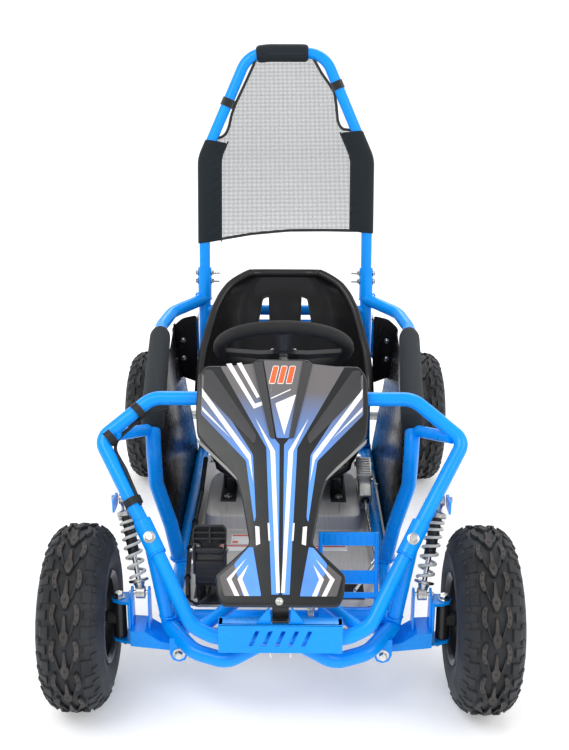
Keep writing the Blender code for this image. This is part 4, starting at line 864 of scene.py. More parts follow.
def tread_block(bm, outline, height, turn, top=1, draft=0.9):
    """One block on the carcass; the outline is in metres round and across the tyre."""
    steps = []
    count = len(outline)
    ms, mx = sum(p[0] for p in outline) / count, sum(p[1] for p in outline) / count
    for grow, lift in ((1.04, -0.0015), (1.0, height * 0.8), (draft, height)):
        loop = []
        for s, x in outline:
            s2, x2 = ms + (s - ms) * grow, mx + (x - mx) * grow
            angle = turn + s2 / TYRE_RADIUS
            radius = carcass_radius(max(-0.0585, min(0.0585, x2))) + lift
            loop.append(Vector((x2, -radius * math.cos(angle), radius * math.sin(angle))))
        steps.append([bm.verts.new(p) for p in loop])
    for low, high in zip(steps, steps[1:]):
        for i in range(count):
            j = (i + 1) % count
            bm.faces.new((low[i], low[j], high[j], high[i]))
    bm.faces.new(list(reversed(steps[0])))
    bm.faces.new(steps[-1]).material_index = top


def bow(points, width):
    """Outline of a curved strip of even width along a centre line."""
    left, right = [], []
    for i, (s, x) in enumerate(points):
        s0, x0 = points[max(i - 1, 0)]
        s1, x1 = points[min(i + 1, len(points) - 1)]
        length = math.hypot(s1 - s0, x1 - x0)
        ns, nx = -(x1 - x0) / length * width / 2, (s1 - s0) / length * width / 2
        if i in (0, len(points) - 1):
            ns, nx = ns * 0.65, nx * 0.65
        left.append((s + ns, x + nx))
        right.append((s - ns, x - nx))
    return left + right[::-1]


TYRE_NARROWING, SHOULDER_TAPER = 0.945, 0.185
SHOULDER_START, SHOULDER_DEPTH = 0.122, 0.035


def tyre_mesh():
    """Carcass, tread of daggers, bananas and knobs, and lettering-free sidewall ribs."""
    bm = bmesh.new()
    half = [(0.0480, 0.0778), (0.0525, 0.0840), (0.0555, 0.0880), (0.0590, 0.0960), (0.0600, 0.1080),
            (0.0598, 0.1130), (0.0606, 0.1140), (0.0604, 0.1165), (0.0596, 0.1175), (0.0592, 0.1290),
            (0.0580, 0.1400), (0.0560, 0.1438)]
    half += [(x, carcass_radius(x)) for x in (0.052, 0.046, 0.040, 0.032, 0.022, 0.010, 0.0)]
    profile = half + [(-x, r) for x, r in reversed(half[:-1])]
    add_lathe(bm, (0, 0, 0), X_AXIS, profile, 102, closed=True)
    repeats = 17
    pitch = 2 * math.pi / repeats
    dagger = [(0.030, -0.0026), (0.030, 0.0026), (0.004, 0.0052), (-0.002, 0.0100), (-0.010, 0.0100),
              (-0.022, 0.0036),
              (-0.022, -0.0036), (-0.010, -0.0100), (-0.002, -0.0100), (0.004, -0.0052)]
    for i in range(repeats):
        turn = i * pitch
        tread_block(bm, dagger, 0.0068, turn)
        hole = [(-0.0065 + 0.0028 * math.cos(a), 0.0028 * math.sin(a))
                for a in (math.pi * k / 4 for k in range(8))]
        tread_block(bm, hole, 0.0071, turn, top=0)
        for side in (-1, 1):
            arm = bow([(-0.006, side * 0.0110), (0.002, side * 0.0150), (0.012, side * 0.0185),
                       (0.022, side * 0.0200)], 0.0042)
            tread_block(bm, arm, 0.0052, turn, top=0)
            banana = bow([(-0.018, side * 0.0220), (-0.010, side * 0.0262), (0.0, side * 0.0280),
                          (0.010, side * 0.0262), (0.018, side * 0.0220)], 0.0105)
            tread_block(bm, banana, 0.0066, turn + pitch / 2)
            for s, x in ((-0.011, 0.0260), (0.0, 0.0280), (0.011, 0.0260)):
                dimple = [(s + 0.0022 * math.cos(a), side * x + 0.0022 * math.sin(a))
                          for a in (math.pi * k / 3 for k in range(6))]
                tread_block(bm, dimple, 0.0069, turn + pitch / 2, top=0)
            knob = [(-0.011, side * 0.0350), (0.011, side * 0.0350), (0.009, side * 0.0530),
                    (-0.009, side * 0.0530)]
            tread_block(bm, knob, 0.0056, turn, top=0, draft=0.82)
            small = [(-0.008, side * 0.0410), (0.008, side * 0.0410), (0.006, side * 0.0560),
                     (-0.006, side * 0.0560)]
            tread_block(bm, small, 0.0042, turn + pitch / 2, top=0, draft=0.8)
            for shift in (0.0, 0.5):
                angle = turn + pitch * (shift + 0.25)
                out = Vector((0, -math.cos(angle), math.sin(angle)))
                round_way = Vector((0, math.sin(angle), math.cos(angle)))
                low = Vector((side * 0.0575, 0, 0)) + out * 0.1395
                corners = [low - round_way * 0.0045, low + round_way * 0.0045,
                           low + round_way * 0.0035 + out * 0.0110 - X_AXIS * side * 0.005,
                           low - round_way * 0.0035 + out * 0.0110 - X_AXIS * side * 0.005]
                add_plate(bm, corners, X_AXIS * side * 0.0034, draft=0.85)
    for vertex in bm.verts:
        reach = math.hypot(vertex.co.y, vertex.co.z)
        outward = max(0.0, min(1.0, (reach - SHOULDER_START) / SHOULDER_DEPTH))
        vertex.co.x *= TYRE_NARROWING * (1 - SHOULDER_TAPER * outward)
    bmesh.ops.recalc_face_normals(bm, faces=bm.faces)
    mesh = bpy.data.meshes.new("tyre")
    bm.to_mesh(mesh)
    bm.free()
    mesh.materials.append(RUBBER)
    mesh.materials.append(TREAD_TOP)
    mesh.shade_smooth()
    mesh.set_sharp_from_angle(angle=math.radians(32))
    return mesh


def rim_mesh(side, hub_inner, bore):
    """Two-lipped steel rim, its pressed disc with lightening holes' raised rings, hub and nuts."""
    bm = bmesh.new()
    s = side
    profile = [(-0.053, 0.0760), (-0.0545, 0.0800), (-0.0530, 0.0815), (-0.0510, 0.0800), (-0.0495, 0.0745),
               (-0.030, 0.0735), (-0.012, 0.0660), (0.012, 0.0660), (0.030, 0.0735), (0.0495, 0.0745),
               (0.0510, 0.0800), (0.0530, 0.0815), (0.0545, 0.0800), (0.053, 0.0745), (0.047, 0.0700),
               (0.031, 0.0690), (0.016, 0.0630), (0.020, 0.0520), (0.032, 0.0400), (0.036, 0.0280),
               (0.0415, 0.0240), (0.0420, bore + 0.0005), (hub_inner, bore + 0.0005), (hub_inner, 0.0235),
               (0.028, 0.0260), (0.028, 0.0390), (0.016, 0.0500), (0.008, 0.0610), (-0.012, 0.0625),
               (-0.030, 0.0690), (-0.047, 0.0700)]
    add_lathe(bm, (0, 0, 0), X_AXIS, [(s * d, r) for d, r in profile], 64, closed=True)
    for i in range(4):
        turn = math.pi / 4 + i * math.pi / 2
        out = Vector((0, math.cos(turn), math.sin(turn)))
        add_nut(bm, X_AXIS * s * 0.0330 + out * 0.0330, X_AXIS * s, 0.0062, 0.003, look=1)
        hole = out * 0.0480 + X_AXIS * s * 0.0235
        add_lathe(bm, hole, (s, 0, 0),
                  ((-0.003, 0.0065), (0.003, 0.0065), (0.0036, 0.0078), (-0.003, 0.0085)), 20,
                  closed=True)
    add_rod(bm, (s * 0.040, 0, 0.0550), (s * 0.046, 0, 0.0620), 0.0028, 12, look=2)
    bmesh.ops.recalc_face_normals(bm, faces=bm.faces)
    mesh = bpy.data.meshes.new("rim")
    bm.to_mesh(mesh)
    bm.free()
    for one in (BLACK_METAL, STEEL, CABLE):
        mesh.materials.append(one)
    mesh.shade_smooth()
    mesh.set_sharp_from_angle(angle=math.radians(30))
    return mesh


def stand(name, mesh, centre, body, nodes):
    """Place a shared mesh at a wheel's centre."""
    made = bpy.data.objects.new(name, mesh)
    bpy.context.collection.objects.link(made)
    made.location = centre
    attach(made, body)
    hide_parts(*nodes)
    return made


def build_wheels():
    rubber = tyre_mesh()
    for side, word in SIDES:
        front, rear = centre_of("tyre_front_" + word), centre_of("tyre_rear_" + word)
        body = "wheel_front_" + word
        stand("tyre_front_rubber_" + word, rubber, front, body, ["tyre_front_" + word])
        stand("tyre_rear_rubber_" + word, rubber, rear, "rear_axle", ["tyre_rear_" + word])
        stand("rim_front_steel_" + word, rim_mesh(side, -0.040, 0.0100), front, body, ["rim_front_" + word])
        stand("rim_rear_steel_" + word, rim_mesh(side, -0.050, 0.0125), rear, "rear_axle",
              ["rim_rear_" + word])
        bm = bmesh.new()
        add_nut(bm, front + X_AXIS * side * 0.0425, X_AXIS * side, 0.0085, 0.0)
        piece("axle_nut_front_" + word, bm, STEEL, body)
        bm = bmesh.new()
        add_nut(bm, rear + X_AXIS * side * 0.0385, X_AXIS * side, 0.0085, 0.0)
        piece("axle_nut_rear_" + word, bm, STEEL, "rear_axle")


# ---- front suspension ---------------------------------------------------------------------
COIL_SPREAD = 1.2475


def coil(bm, top, foot, radius, wire, turns):
    """A compression spring, closer wound at its top and closed at both ends."""
    down = (foot - top).normalized()
    across, up = level_pair(down)
    length = (foot - top).length
    count = int(turns * 26)
    path = []
    for i in range(count + 1):
        t = i / count
        shape = t ** COIL_SPREAD
        turn = 2 * math.pi * turns * t
        path.append(top + down * (wire + (length - 2 * wire) * shape)
                    + radius * (math.cos(turn) * across + math.sin(turn) * up))
    add_sweep(bm, path, wire, 10)


def build_suspension(side, word):
    top, foot = mirrored(SHOCK_TOP, side), mirrored(SHOCK_FOOT, side)
    down = (foot - top).normalized()
    body, rod_body = "shock_body_" + word, "shock_rod_" + word
    bm = bmesh.new()
    add_lathe(bm, top, down, ((0.006, 0.0078), (0.015, 0.0080), (0.020, 0.0090), (0.022, 0.0150),
                              (0.0235, 0.0168),
                              (0.0305, 0.0171), (0.0315, 0.0160), (0.0320, 0.0108)), 36, look=1)
    add_lathe(bm, top - X_AXIS * 0.0080, X_AXIS,
              ((0, 0.0055), (0, 0.0102), (0.0010, 0.0110), (0.0150, 0.0110),
                                                  (0.0160, 0.0102), (0.0160, 0.0055)), 28, closed=True,
                                                  look=1)
    add_lathe(bm, top, down, ((0.0315, 0.0100), (0.0560, 0.0100), (0.0570, 0.0108), (0.0620, 0.0108),
                              (0.0630, 0.0100), (0.0980, 0.0100), (0.1000, 0.0088), (0.1000, 0.0056)), 32,
                              look=0)
    piece("shock_can_" + word, bm, BLACK_METAL, body, ["shock_body_" + word],
          more_looks=(BRUSHED,))
    bm = bmesh.new()
    add_rod(bm, top + down * 0.076, foot - down * 0.012, 0.0045, 24)
    add_lathe(bm, foot, -down, ((0.0070, 0.0080), (0.0120, 0.0085), (0.0170, 0.0105), (0.0190, 0.0170),
                                (0.0205, 0.0176), (0.0225, 0.0176), (0.0235, 0.0165), (0.0240, 0.0100)),
                                32, look=1)
    add_lathe(bm, foot - X_AXIS * 0.0080, X_AXIS,
              ((0, 0.0085), (0, 0.0102), (0.0010, 0.0110), (0.0150, 0.0110),
                                                   (0.0160, 0.0102), (0.0160, 0.0085)), 28, closed=True,
                                                   look=1)
    piece("shock_shaft_" + word, bm, CHROME, rod_body, ["shock_rod_" + word],
          more_looks=(BRUSHED,))
    bm = bmesh.new()
    coil(bm, top + down * 0.0320, foot - down * 0.0250, 0.0137, 0.0028, 7.0)
    wound = piece("coil_spring_" + word, bm, SPRING_PAINT, body, ["spring_" + word], sharp=80)
    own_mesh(wound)
    build_arm(side, word)
    build_linkage(side, word)


def build_arm(side, word):
    px, py, pz = mirrored(ARM_PIVOT, side)
    body = "arm_" + word
    bm = bmesh.new()
    add_lathe(bm, (px, py - 0.044, pz), Y_AXIS, ((0, 0.0060), (0, 0.0112), (0.001, 0.0120), (0.087, 0.0120),
                                                (0.088, 0.0112), (0.088, 0.0060)), 32, closed=True)
    web = [(0.176, 0.1115), (0.176, 0.1265), (0.205, 0.1290), (0.214, 0.1320), (0.240, 0.1500),
           (0.266, 0.1515), (0.266, 0.1215), (0.250, 0.1195)]
    outline = [Vector((side * x, -0.528, z)) for x, z in web]
    add_plate(bm, outline, (0, 0.056, 0))
    x = side * 0.2675
    add_box(bm, (x - 0.0027, -0.520, 0.1200), (x + 0.0027, -0.482, 0.2060), 0.0012)
    for z in (0.124, 0.202):
        ear = [(0.266, -0.521), (0.285, -0.517), (0.2965, -0.511), (0.3005, -0.500), (0.2965, -0.489),
               (0.285, -0.483), (0.266, -0.481)]
        add_plate(bm, [(side * u, y, z - 0.0025) for u, y in ear], (0, 0, 0.005))
    fx, fy, fz = mirrored(SHOCK_FOOT, side)
    for shift in (-0.0150, 0.0150):
        lug = [(fy - 0.0155, 0.134), (fy + 0.0155, 0.134), (fy + 0.0120, fz - 0.004),
               (fy + 0.0105, fz + 0.004),
               (fy + 0.0060, fz + 0.0095), (fy, fz + 0.0112), (fy - 0.0060, fz + 0.0095),
               (fy - 0.0105, fz + 0.004), (fy - 0.0120, fz - 0.004)]
        add_plate(bm, [(fx + shift - 0.00175, y, z) for y, z in lug], (0.0035, 0, 0))
    made = piece("swing_arm_" + word, bm, BLUE, body, ["arm_" + word], sharp=25)
    soften = made.modifiers.new("edges", "BEVEL")
    soften.width, soften.segments, soften.limit_method = 0.0009, 2, "ANGLE"
    bm = bmesh.new()
    add_rod(bm, (fx - 0.017, fy, fz), (fx + 0.017, fy, fz), 0.0035)
    add_bolt(bm, (fx + side * 0.0168, fy, fz), X_AXIS * side, 0.0042, washer=False)
    add_bolt(bm, (side * KINGPIN_X, fy, 0.2048), Z_AXIS, 0.0082)
    add_rod(bm, (side * KINGPIN_X, fy, 0.1130), (side * KINGPIN_X, fy, 0.2050), 0.0050)
    add_nut(bm, (side * KINGPIN_X, fy, 0.1212), -Z_AXIS, 0.0070, 0.001)
    piece("arm_bolts_" + word, bm, STEEL, body, ["kingpin_" + word])
    bm = bmesh.new()
    add_rod(bm, (px, py - 0.052, pz), (px, py + 0.058, pz), 0.0050)
    add_bolt(bm, (px, py - 0.0522, pz), -Y_AXIS, 0.0078)
    add_nut(bm, (px, py + 0.0522, pz), Y_AXIS, 0.0072, 0.0)
    piece("pivot_bolt_" + word, bm, STEEL, CHASSIS, ["arm_pin_" + word])


def rod_end(bm, ball, along, look=0):
    """Forged eye with its ball race and a hexagon lock nut on the shank."""
    add_lathe(bm, ball - Z_AXIS * 0.0055, Z_AXIS,
              ((0, 0.0060), (0, 0.0080), (0.0012, 0.0092), (0.0098, 0.0092),
                                                   (0.0110, 0.0080), (0.0110, 0.0060)), 28, closed=True,
                                                   look=look)
    add_rod(bm, ball + along * 0.0085, ball + along * 0.0230, 0.0056, 24, look=look)
    add_lathe(bm, ball + along * 0.0230, along,
              ((0, 0.0066), (0.0008, 0.0074), (0.0062, 0.0074), (0.0070, 0.0066)), 6,
              look=look)


def build_linkage(side, word):
    middle = Vector((side * KINGPIN_X, -0.5, AXLE_Z))
    ball = mirrored(TIE_BALL, side)
    bm = bmesh.new()
    add_lathe(bm, (middle.x, -0.5, 0.1275), Z_AXIS,
              ((0, 0.0060), (0, 0.0112), (0.001, 0.0122), (0.0700, 0.0122),
                                                     (0.0710, 0.0112), (0.0710, 0.0060)), 32, closed=True)
    for start, end, r in ((0.006, 0.0215, 0.0130), (0.0200, 0.116, 0.0095)):
        add_rod(bm, middle + X_AXIS * side * start, middle + X_AXIS * side * end, r, 32)
    arm = [(-0.494, 0.128), (-0.494, 0.147), (-0.477, 0.147), (-0.460, 0.112), (-0.457, 0.103),
           (-0.457, 0.0965), (-0.466, 0.0965), (-0.479, 0.128)]
    add_plate(bm, [(ball.x - 0.004, y, z) for y, z in arm], (0.008, 0, 0))
    add_lathe(bm, ball, Z_AXIS, ((0.0100, 0.0045), (0.0100, 0.0090), (0.0110, 0.0096), (0.0160, 0.0096),
                                 (0.0170, 0.0090), (0.0170, 0.0045)), 28, closed=True)
    made = piece("stub_axle_" + word, bm, BLACK_METAL, "knuckle_" + word, ["knuckle_" + word], sharp=28)
    soften = made.modifiers.new("edges", "BEVEL")
    soften.width, soften.segments, soften.limit_method = 0.0008, 2, "ANGLE"
    bm = bmesh.new()
    add_rod(bm, ball - Z_AXIS * 0.0030, ball + Z_AXIS * 0.0210, 0.0030, 16)
    add_rod(bm, ball - Z_AXIS * 0.0030, ball + Z_AXIS * 0.0045, 0.0050, 24)
    add_nut(bm, ball + Z_AXIS * 0.0178, Z_AXIS, 0.0050, 0.0)
    piece("ball_stud_" + word, bm, STEEL, "tie_stud_" + word, ["tie_stud_" + word])
    inner = mirrored(PITMAN, side)
    along = (inner - ball).normalized()
    bm = bmesh.new()
    rod_end(bm, ball, along, look=1)
    add_rod(bm, ball + along * 0.0290, inner - along * 0.0240, 0.0045, 28)
    add_lathe(bm, inner - Z_AXIS * 0.0045, Z_AXIS,
              ((0, 0.0070), (0.001, 0.0082), (0.008, 0.0082), (0.009, 0.0070)), 28,
              look=1)
    add_rod(bm, inner - along * 0.0070, inner - along * 0.0190, 0.0056, 24, look=1)
    add_lathe(bm, inner - along * 0.0190, -along,
              ((0, 0.0066), (0.0008, 0.0074), (0.0062, 0.0074), (0.0070, 0.0066)),
              6, look=1)
    piece("track_rod_" + word, bm, CHROME, "tie_rod_" + word, ["tie_rod_" + word],
          more_looks=(STEEL,))


# ---- steering -----------------------------------------------------------------------------
def build_steering():
    axis = (column_point(0) - column_point(1)).normalized()
    forward = axis.cross(X_AXIS)
    low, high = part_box("steering_wheel")
    radius = (high.x - low.x) / 2 - 0.0137
    hub = column_point(0.0100)
    steps = 96
    path = []
    for i in range(steps):
        t = 2 * math.pi * i / steps
        path.append(hub + radius * (math.cos(t) * X_AXIS + math.sin(t) * forward))
    bm = bmesh.new()
    rings = []
    for i, point in enumerate(path):
        t = 2 * math.pi * i / steps
        out = math.cos(t) * X_AXIS + math.sin(t) * forward
        bumps = 0.0007 * math.cos(24 * t)
        ring_points = []
        for k in range(18):
            a = 2 * math.pi * k / 18
            size = 0.0134 + (bumps if math.sin(a) < -0.3 else 0)
            ring_points.append(point + out * math.cos(a) * size * 0.95 + axis * math.sin(a) * size)
        rings.append(ring_points)
    add_skin(bm, rings, closed=True)
    piece("wheel_grip", bm, GRIP, "steering", ["steering_wheel"], sharp=80)
    bm = bmesh.new()
    for turn in (0.20, math.pi - 0.20, -math.pi / 2):
        out = math.cos(turn) * X_AXIS + math.sin(turn) * forward
        wide = out.cross(axis).normalized()
        stations = ((0.018, 0.022, -0.012), (0.045, 0.017, -0.010), (0.095, 0.015, -0.003),
                    (0.124, 0.018, 0.0))
        rows = []
        for reach, half, lift in stations:
            middle = hub + out * reach + axis * lift
            rows.append([middle - wide * half - axis * 0.005, middle + wide * half - axis * 0.005,
                         middle + wide * half * 0.85 + axis * 0.004,
                         middle - wide * half * 0.85 + axis * 0.004])
        add_skin(bm, rows)
    add_lathe(bm, column_point(0.0300), axis,
              ((0, 0.0300), (0.0015, 0.0320), (0.010, 0.0320), (0.0115, 0.0300)), 48)
    piece("wheel_spokes", bm, BLACK_METAL, "steering", sharp=30)
    bm = bmesh.new()
    add_lathe(bm, column_point(0.0190), axis,
              ((0, 0.0200), (0.004, 0.0200), (0.0055, 0.0185), (0.0060, 0.0100)), 40,
              look=0)
    for i in range(3):
        t = math.pi / 2 + i * 2 * math.pi / 3
        spot = column_point(0.0185) + 0.0255 * (math.cos(t) * X_AXIS + math.sin(t) * forward)
        add_bolt(bm, spot, axis, 0.0036, look=1, domed=True)
    piece("wheel_hub_cap", bm, HUB_CAP, "steering", more_looks=(STEEL,))
    foot = column_point(0.549)
    bm = bmesh.new()
    add_rod(bm, column_point(0.0305), foot, 0.0100, 32)
    add_lathe(bm, column_point(0.455), axis,
              ((0, 0.0140), (0.001, 0.0150), (0.011, 0.0150), (0.012, 0.0140)), 32)
    level = PITMAN.z + 0.0105
    back, half = PITMAN.y, PITMAN.x
    outline = [(-0.014, foot.y - 0.008, level), (-0.010, foot.y - 0.012, level),
               (0.010, foot.y - 0.012, level),
               (0.014, foot.y - 0.008, level), (half + 0.009, back + 0.004, level),
               (half + 0.004, back + 0.010, level),
               (-half - 0.004, back + 0.010, level), (-half - 0.009, back + 0.004, level)]
    add_plate(bm, outline, (0, 0, 0.005))
    for side in (-1, 1):
        add_nut(bm, (side * half, back, level + 0.005), Z_AXIS, 0.0050, 0.0)
    piece("column_shaft", bm, BRUSHED, "steering", ["steering_column"], sharp=28)


# ---- nose panel ---------------------------------------------------------------------------
PANEL_OUT = Vector((0, -1.0, 1 / 1.13)).normalized()


def on_panel(x, z, depth=0.0):
    return Vector((x, panel_y(z), z)) + PANEL_OUT * depth


def rounded(outline, radius, steps=5):
    """Round the corners of a closed (x, z) outline."""
    done = []
    count = len(outline)
    for i, corner in enumerate(outline):
        here = Vector((*corner, 0))
        before, after = Vector((*outline[i - 1], 0)), Vector((*outline[(i + 1) % count], 0))
        back, ahead = (before - here), (after - here)
        reach = min(radius, 0.4 * back.length, 0.4 * ahead.length)
        start, end = here + back.normalized() * reach, here + ahead.normalized() * reach
        for k in range(steps + 1):
            t = k / steps
            p = start.lerp(here, t).lerp(here.lerp(end, t), t)
            done.append((p.x, p.y))
    return done


def inset_outline(outline, amount):
    """Move each point of a closed outline inwards along its own normal."""
    area = sum(a[0] * b[1] - b[0] * a[1] for a, b in zip(outline, outline[1:] + outline[:1]))
    way = 1 if area > 0 else -1
    moved = []
    count = len(outline)
    for i, (x, z) in enumerate(outline):
        x0, z0 = outline[i - 1]
        x1, z1 = outline[(i + 1) % count]
        length = math.hypot(x1 - x0, z1 - z0) or 1.0
        moved.append((x - way * (z1 - z0) / length * amount, z + way * (x1 - x0) / length * amount))
    return moved


def film(bm, outline, height, look=0):
    """A thin printed or moulded layer standing off the panel."""
    base = [on_panel(x, z, -0.0010) for x, z in outline]
    add_plate(bm, base, PANEL_OUT * (height + 0.0010), look=look)


def build_nose():
    half = [(0.046, 0.592), (0.058, 0.583), (0.138, 0.582), (0.151, 0.565), (0.153, 0.520), (0.149, 0.484),
            (0.138, 0.473), (0.078, 0.424), (0.068, 0.398), (0.053, 0.338), (0.109, 0.298), (0.105, 0.272),
            (0.096, 0.260)]
    outline = rounded(half + [(-x, z) for x, z in reversed(half)], 0.007)
    levels = ((-0.0140, 0.0), (-0.0030, 0.0), (-0.0012, 0.0008), (-0.0002, 0.0020), (0.0, 0.0034))
    rings = [[on_panel(x, z, d) for x, z in inset_outline(outline, i)] for d, i in levels]
    back = [[on_panel(x, z, d) for x, z in inset_outline(outline, i)]
            for d, i in ((-0.0140, 0.0026), (-0.0026, 0.0030))]
    bm = bmesh.new()
    add_skin(bm, [back[1], back[0]] + rings)
    piece("nose_shell", bm, PANEL_BLACK, replaces=("nose_panel",), sharp=40)
    ribs, prints = bmesh.new(), bmesh.new()
    whites = bmesh.new()
    for side in (1, -1):
        def flip(points):
            return [(side * x, z) for x, z in points]
        film(ribs, rounded(flip([(0.126, 0.575), (0.140, 0.575), (0.140, 0.545), (0.048, 0.470),
                                 (0.044, 0.482)]), 0.004),
             0.0018)
        wing = [(0.144, 0.571), (0.050, 0.456), (0.043, 0.372), (0.046, 0.366), (0.062, 0.448),
                (0.143, 0.512)]
        film(prints, rounded(flip(wing), 0.003), 0.0010, look=0)
        centre = [(0.111, 0.580), (0.051, 0.585), (0.012, 0.478), (0.004, 0.470), (0.003, 0.274),
                  (0.0150, 0.274), (0.0270, 0.466)]
        film(prints, flip(centre), 0.0008, look=1)
        fin = [(0.055, 0.333), (0.047, 0.334), (0.032, 0.272), (0.062, 0.272), (0.078, 0.312)]
        film(prints, rounded(flip(fin), 0.002), 0.0010, look=3)
        film(prints, rounded(flip([(0.078, 0.312), (0.062, 0.272), (0.093, 0.272), (0.102, 0.296)]),
                             0.002), 0.0009, look=2)
        for stripe in (((0.143, 0.549), (0.054, 0.456), (0.049, 0.419), (0.0575, 0.449), (0.142, 0.537)),
                       ((0.142, 0.523), (0.088, 0.478), (0.141, 0.517)),
                       ((0.047, 0.507), (0.020, 0.461), (0.007, 0.276), (0.001, 0.276), (0.0115, 0.461)),
                       ((0.058, 0.319), (0.090, 0.293), (0.076, 0.272), (0.068, 0.272), (0.082, 0.293)),
                       ((0.054, 0.312), (0.072, 0.293), (0.060, 0.272), (0.052, 0.272), (0.064, 0.293)),
                       ((0.044, 0.361), (0.037, 0.360), (0.035, 0.338), (0.042, 0.336)),
                       ((0.023, 0.365), (0.020, 0.365), (0.018, 0.342), (0.021, 0.342))):
            film(whites, flip(stripe), 0.0014)
        rib = rounded(flip([(0.053, 0.585), (0.036, 0.588), (0.012, 0.478), (0.021, 0.480)]), 0.002)
        film(ribs, rib, 0.0042)
    for line in (((-0.101, 0.584), (-0.092, 0.585), (-0.048, 0.527), (-0.033, 0.531), (-0.032, 0.526),
                  (-0.050, 0.520)),
                 ((-0.082, 0.585), (-0.074, 0.586), (-0.042, 0.540), (-0.040, 0.537), (-0.045, 0.535))):
        film(whites, list(line), 0.0014)
    badge = [(-0.034, 0.589), (0.043, 0.588), (0.013, 0.479), (-0.009, 0.479)]
    film(prints, rounded(badge, 0.003), 0.0030, look=1)
    film(whites, [(-0.012, 0.527), (0.0245, 0.540), (0.0040, 0.483)], 0.0035)
    for a, b in (((-0.020, 0.541), (-0.020, 0.553)), ((-0.020, 0.534), (0.014, 0.547))):
        film(whites, [(a[0], a[1] - 0.0008), (b[0] + 0.0008, b[1] - 0.0008),
                      (b[0] + 0.0008, b[1] + 0.0008), (a[0], a[1] + 0.0008)],
             0.0035)
    piece("nose_ribs", ribs, PANEL_BLACK, sharp=25)
    piece("nose_print", prints, WING_PRINT, sharp=25,
          more_looks=(GREY_BLUE_PRINT, FIN_GREY, FIN_BLUE))
    piece("nose_print_white", whites, WHITE, sharp=25)
    bars = bmesh.new()
    for i, x in enumerate((-0.017, -0.002, 0.013)):
        lean = [(x - 0.006, 0.556), (x + 0.003, 0.556), (x + 0.010, 0.580), (x + 0.001, 0.580)]
        film(bars, inset_outline(rounded(lean, 0.001, 2), -0.0012), 0.0034, look=1)
        film(bars, lean, 0.0038, look=0)
    piece("nose_bars", bars, ORANGE, sharp=25, more_looks=(WHITE,))
    edge = bmesh.new()
    for side in (1, -1):
        strip = [(side * 0.149, 0.479), (side * 0.079, 0.4285), (side * 0.076, 0.4215),
                 (side * 0.147, 0.4725)]
        film(edge, strip, -0.0005)
    piece("nose_fold", edge, SKIRT_GREY, sharp=25)
    bm = bmesh.new()
    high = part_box("nose_bracket")[1]
    y_foot = PLATE_Y + 0.004
    add_box(bm, (-0.014, y_foot, 0.2243), (0.014, -0.598, 0.2280), 0.0008)
    add_box(bm, (-0.014, -0.6035, 0.2243), (0.014, -0.5995, high.z), 0.0008)
    add_box(bm, (-0.014, -0.6035, high.z - 0.004), (0.014, high.y, high.z), 0.0008)
    piece("nose_foot_strip", bm, BLACK_METAL, replaces=("nose_bracket",))
    bm = bmesh.new()
    add_bolt(bm, on_panel(-0.002, 0.2655, 0.0004), PANEL_OUT, 0.0046, domed=True)
    piece("nose_bolts", bm, STEEL)


# ---- seat ---------------------------------------------------------------------------------
SEAT_SPINE = ((-0.105, 0.262), (-0.050, 0.246), (0.040, 0.238), (0.130, 0.246), (0.195, 0.285),
              (0.228, 0.360), (0.250, 0.440), (0.268, 0.520), (0.284, 0.598))
SEAT_HALF = (0.130, 0.150, 0.168, 0.178, 0.184, 0.184, 0.176, 0.145, 0.078)
SEAT_WING = (0.030, 0.055, 0.085, 0.120, 0.160, 0.150, 0.110, 0.060, 0.016)


def curve_through(values, t):
    """Smooth value along a list of values, t from 0 to 1."""
    last = len(values) - 1
    place = min(t * last, last - 1e-6)
    i = int(place)
    u = place - i
    a, b, c, d = (values[max(0, min(last, i + k))] for k in (-1, 0, 1, 2))
    return 0.5 * (2 * b + (c - a) * u + (2 * a - 5 * b + 4 * c - d) * u * u + (3 * b - a - 3 * c + d)
                  * u ** 3)


SEAT_SHOULDER = ((0.0, 0.0), (0.003, 0.06), (0.008, 0.12), (0.015, 0.18), (0.025, 0.21), (0.045, 0.16),
                 (0.065, 0.095), (0.100, 0.03), (0.140, 0.0))


def seat_row(t, offset, across):
    y = curve_through([p[0] for p in SEAT_SPINE], t)
    z = curve_through([p[1] for p in SEAT_SPINE], t)
    y2 = curve_through([p[0] for p in SEAT_SPINE], min(t + 0.01, 1.0))
    y1 = curve_through([p[0] for p in SEAT_SPINE], max(t - 0.01, 0.0))
    z2 = curve_through([p[1] for p in SEAT_SPINE], min(t + 0.01, 1.0))
    z1 = curve_through([p[1] for p in SEAT_SPINE], max(t - 0.01, 0.0))
    along = Vector((0, y2 - y1, z2 - z1)).normalized()
    inward = Vector((0, -along.z, along.y))
    half, wing = curve_through(SEAT_HALF, t), curve_through(SEAT_WING, t)
    below = SEAT_SPINE[-1][1] - z
    for (d0, f0), (d1, f1) in zip(SEAT_SHOULDER, SEAT_SHOULDER[1:]):
        if d0 <= below < d1:
            half *= 1 + f0 + (f1 - f0) * (below - d0) / (d1 - d0)
            break
    row = []
    for s in across:
        rise = wing * max(0.0, (abs(s) - 0.55) / 0.45) ** 1.6
        reach = math.copysign(min(abs(s) / 0.93, 1.0), s) * (half + offset)
        row.append(Vector((reach, y, z)) + inward * (rise - offset))
    return row


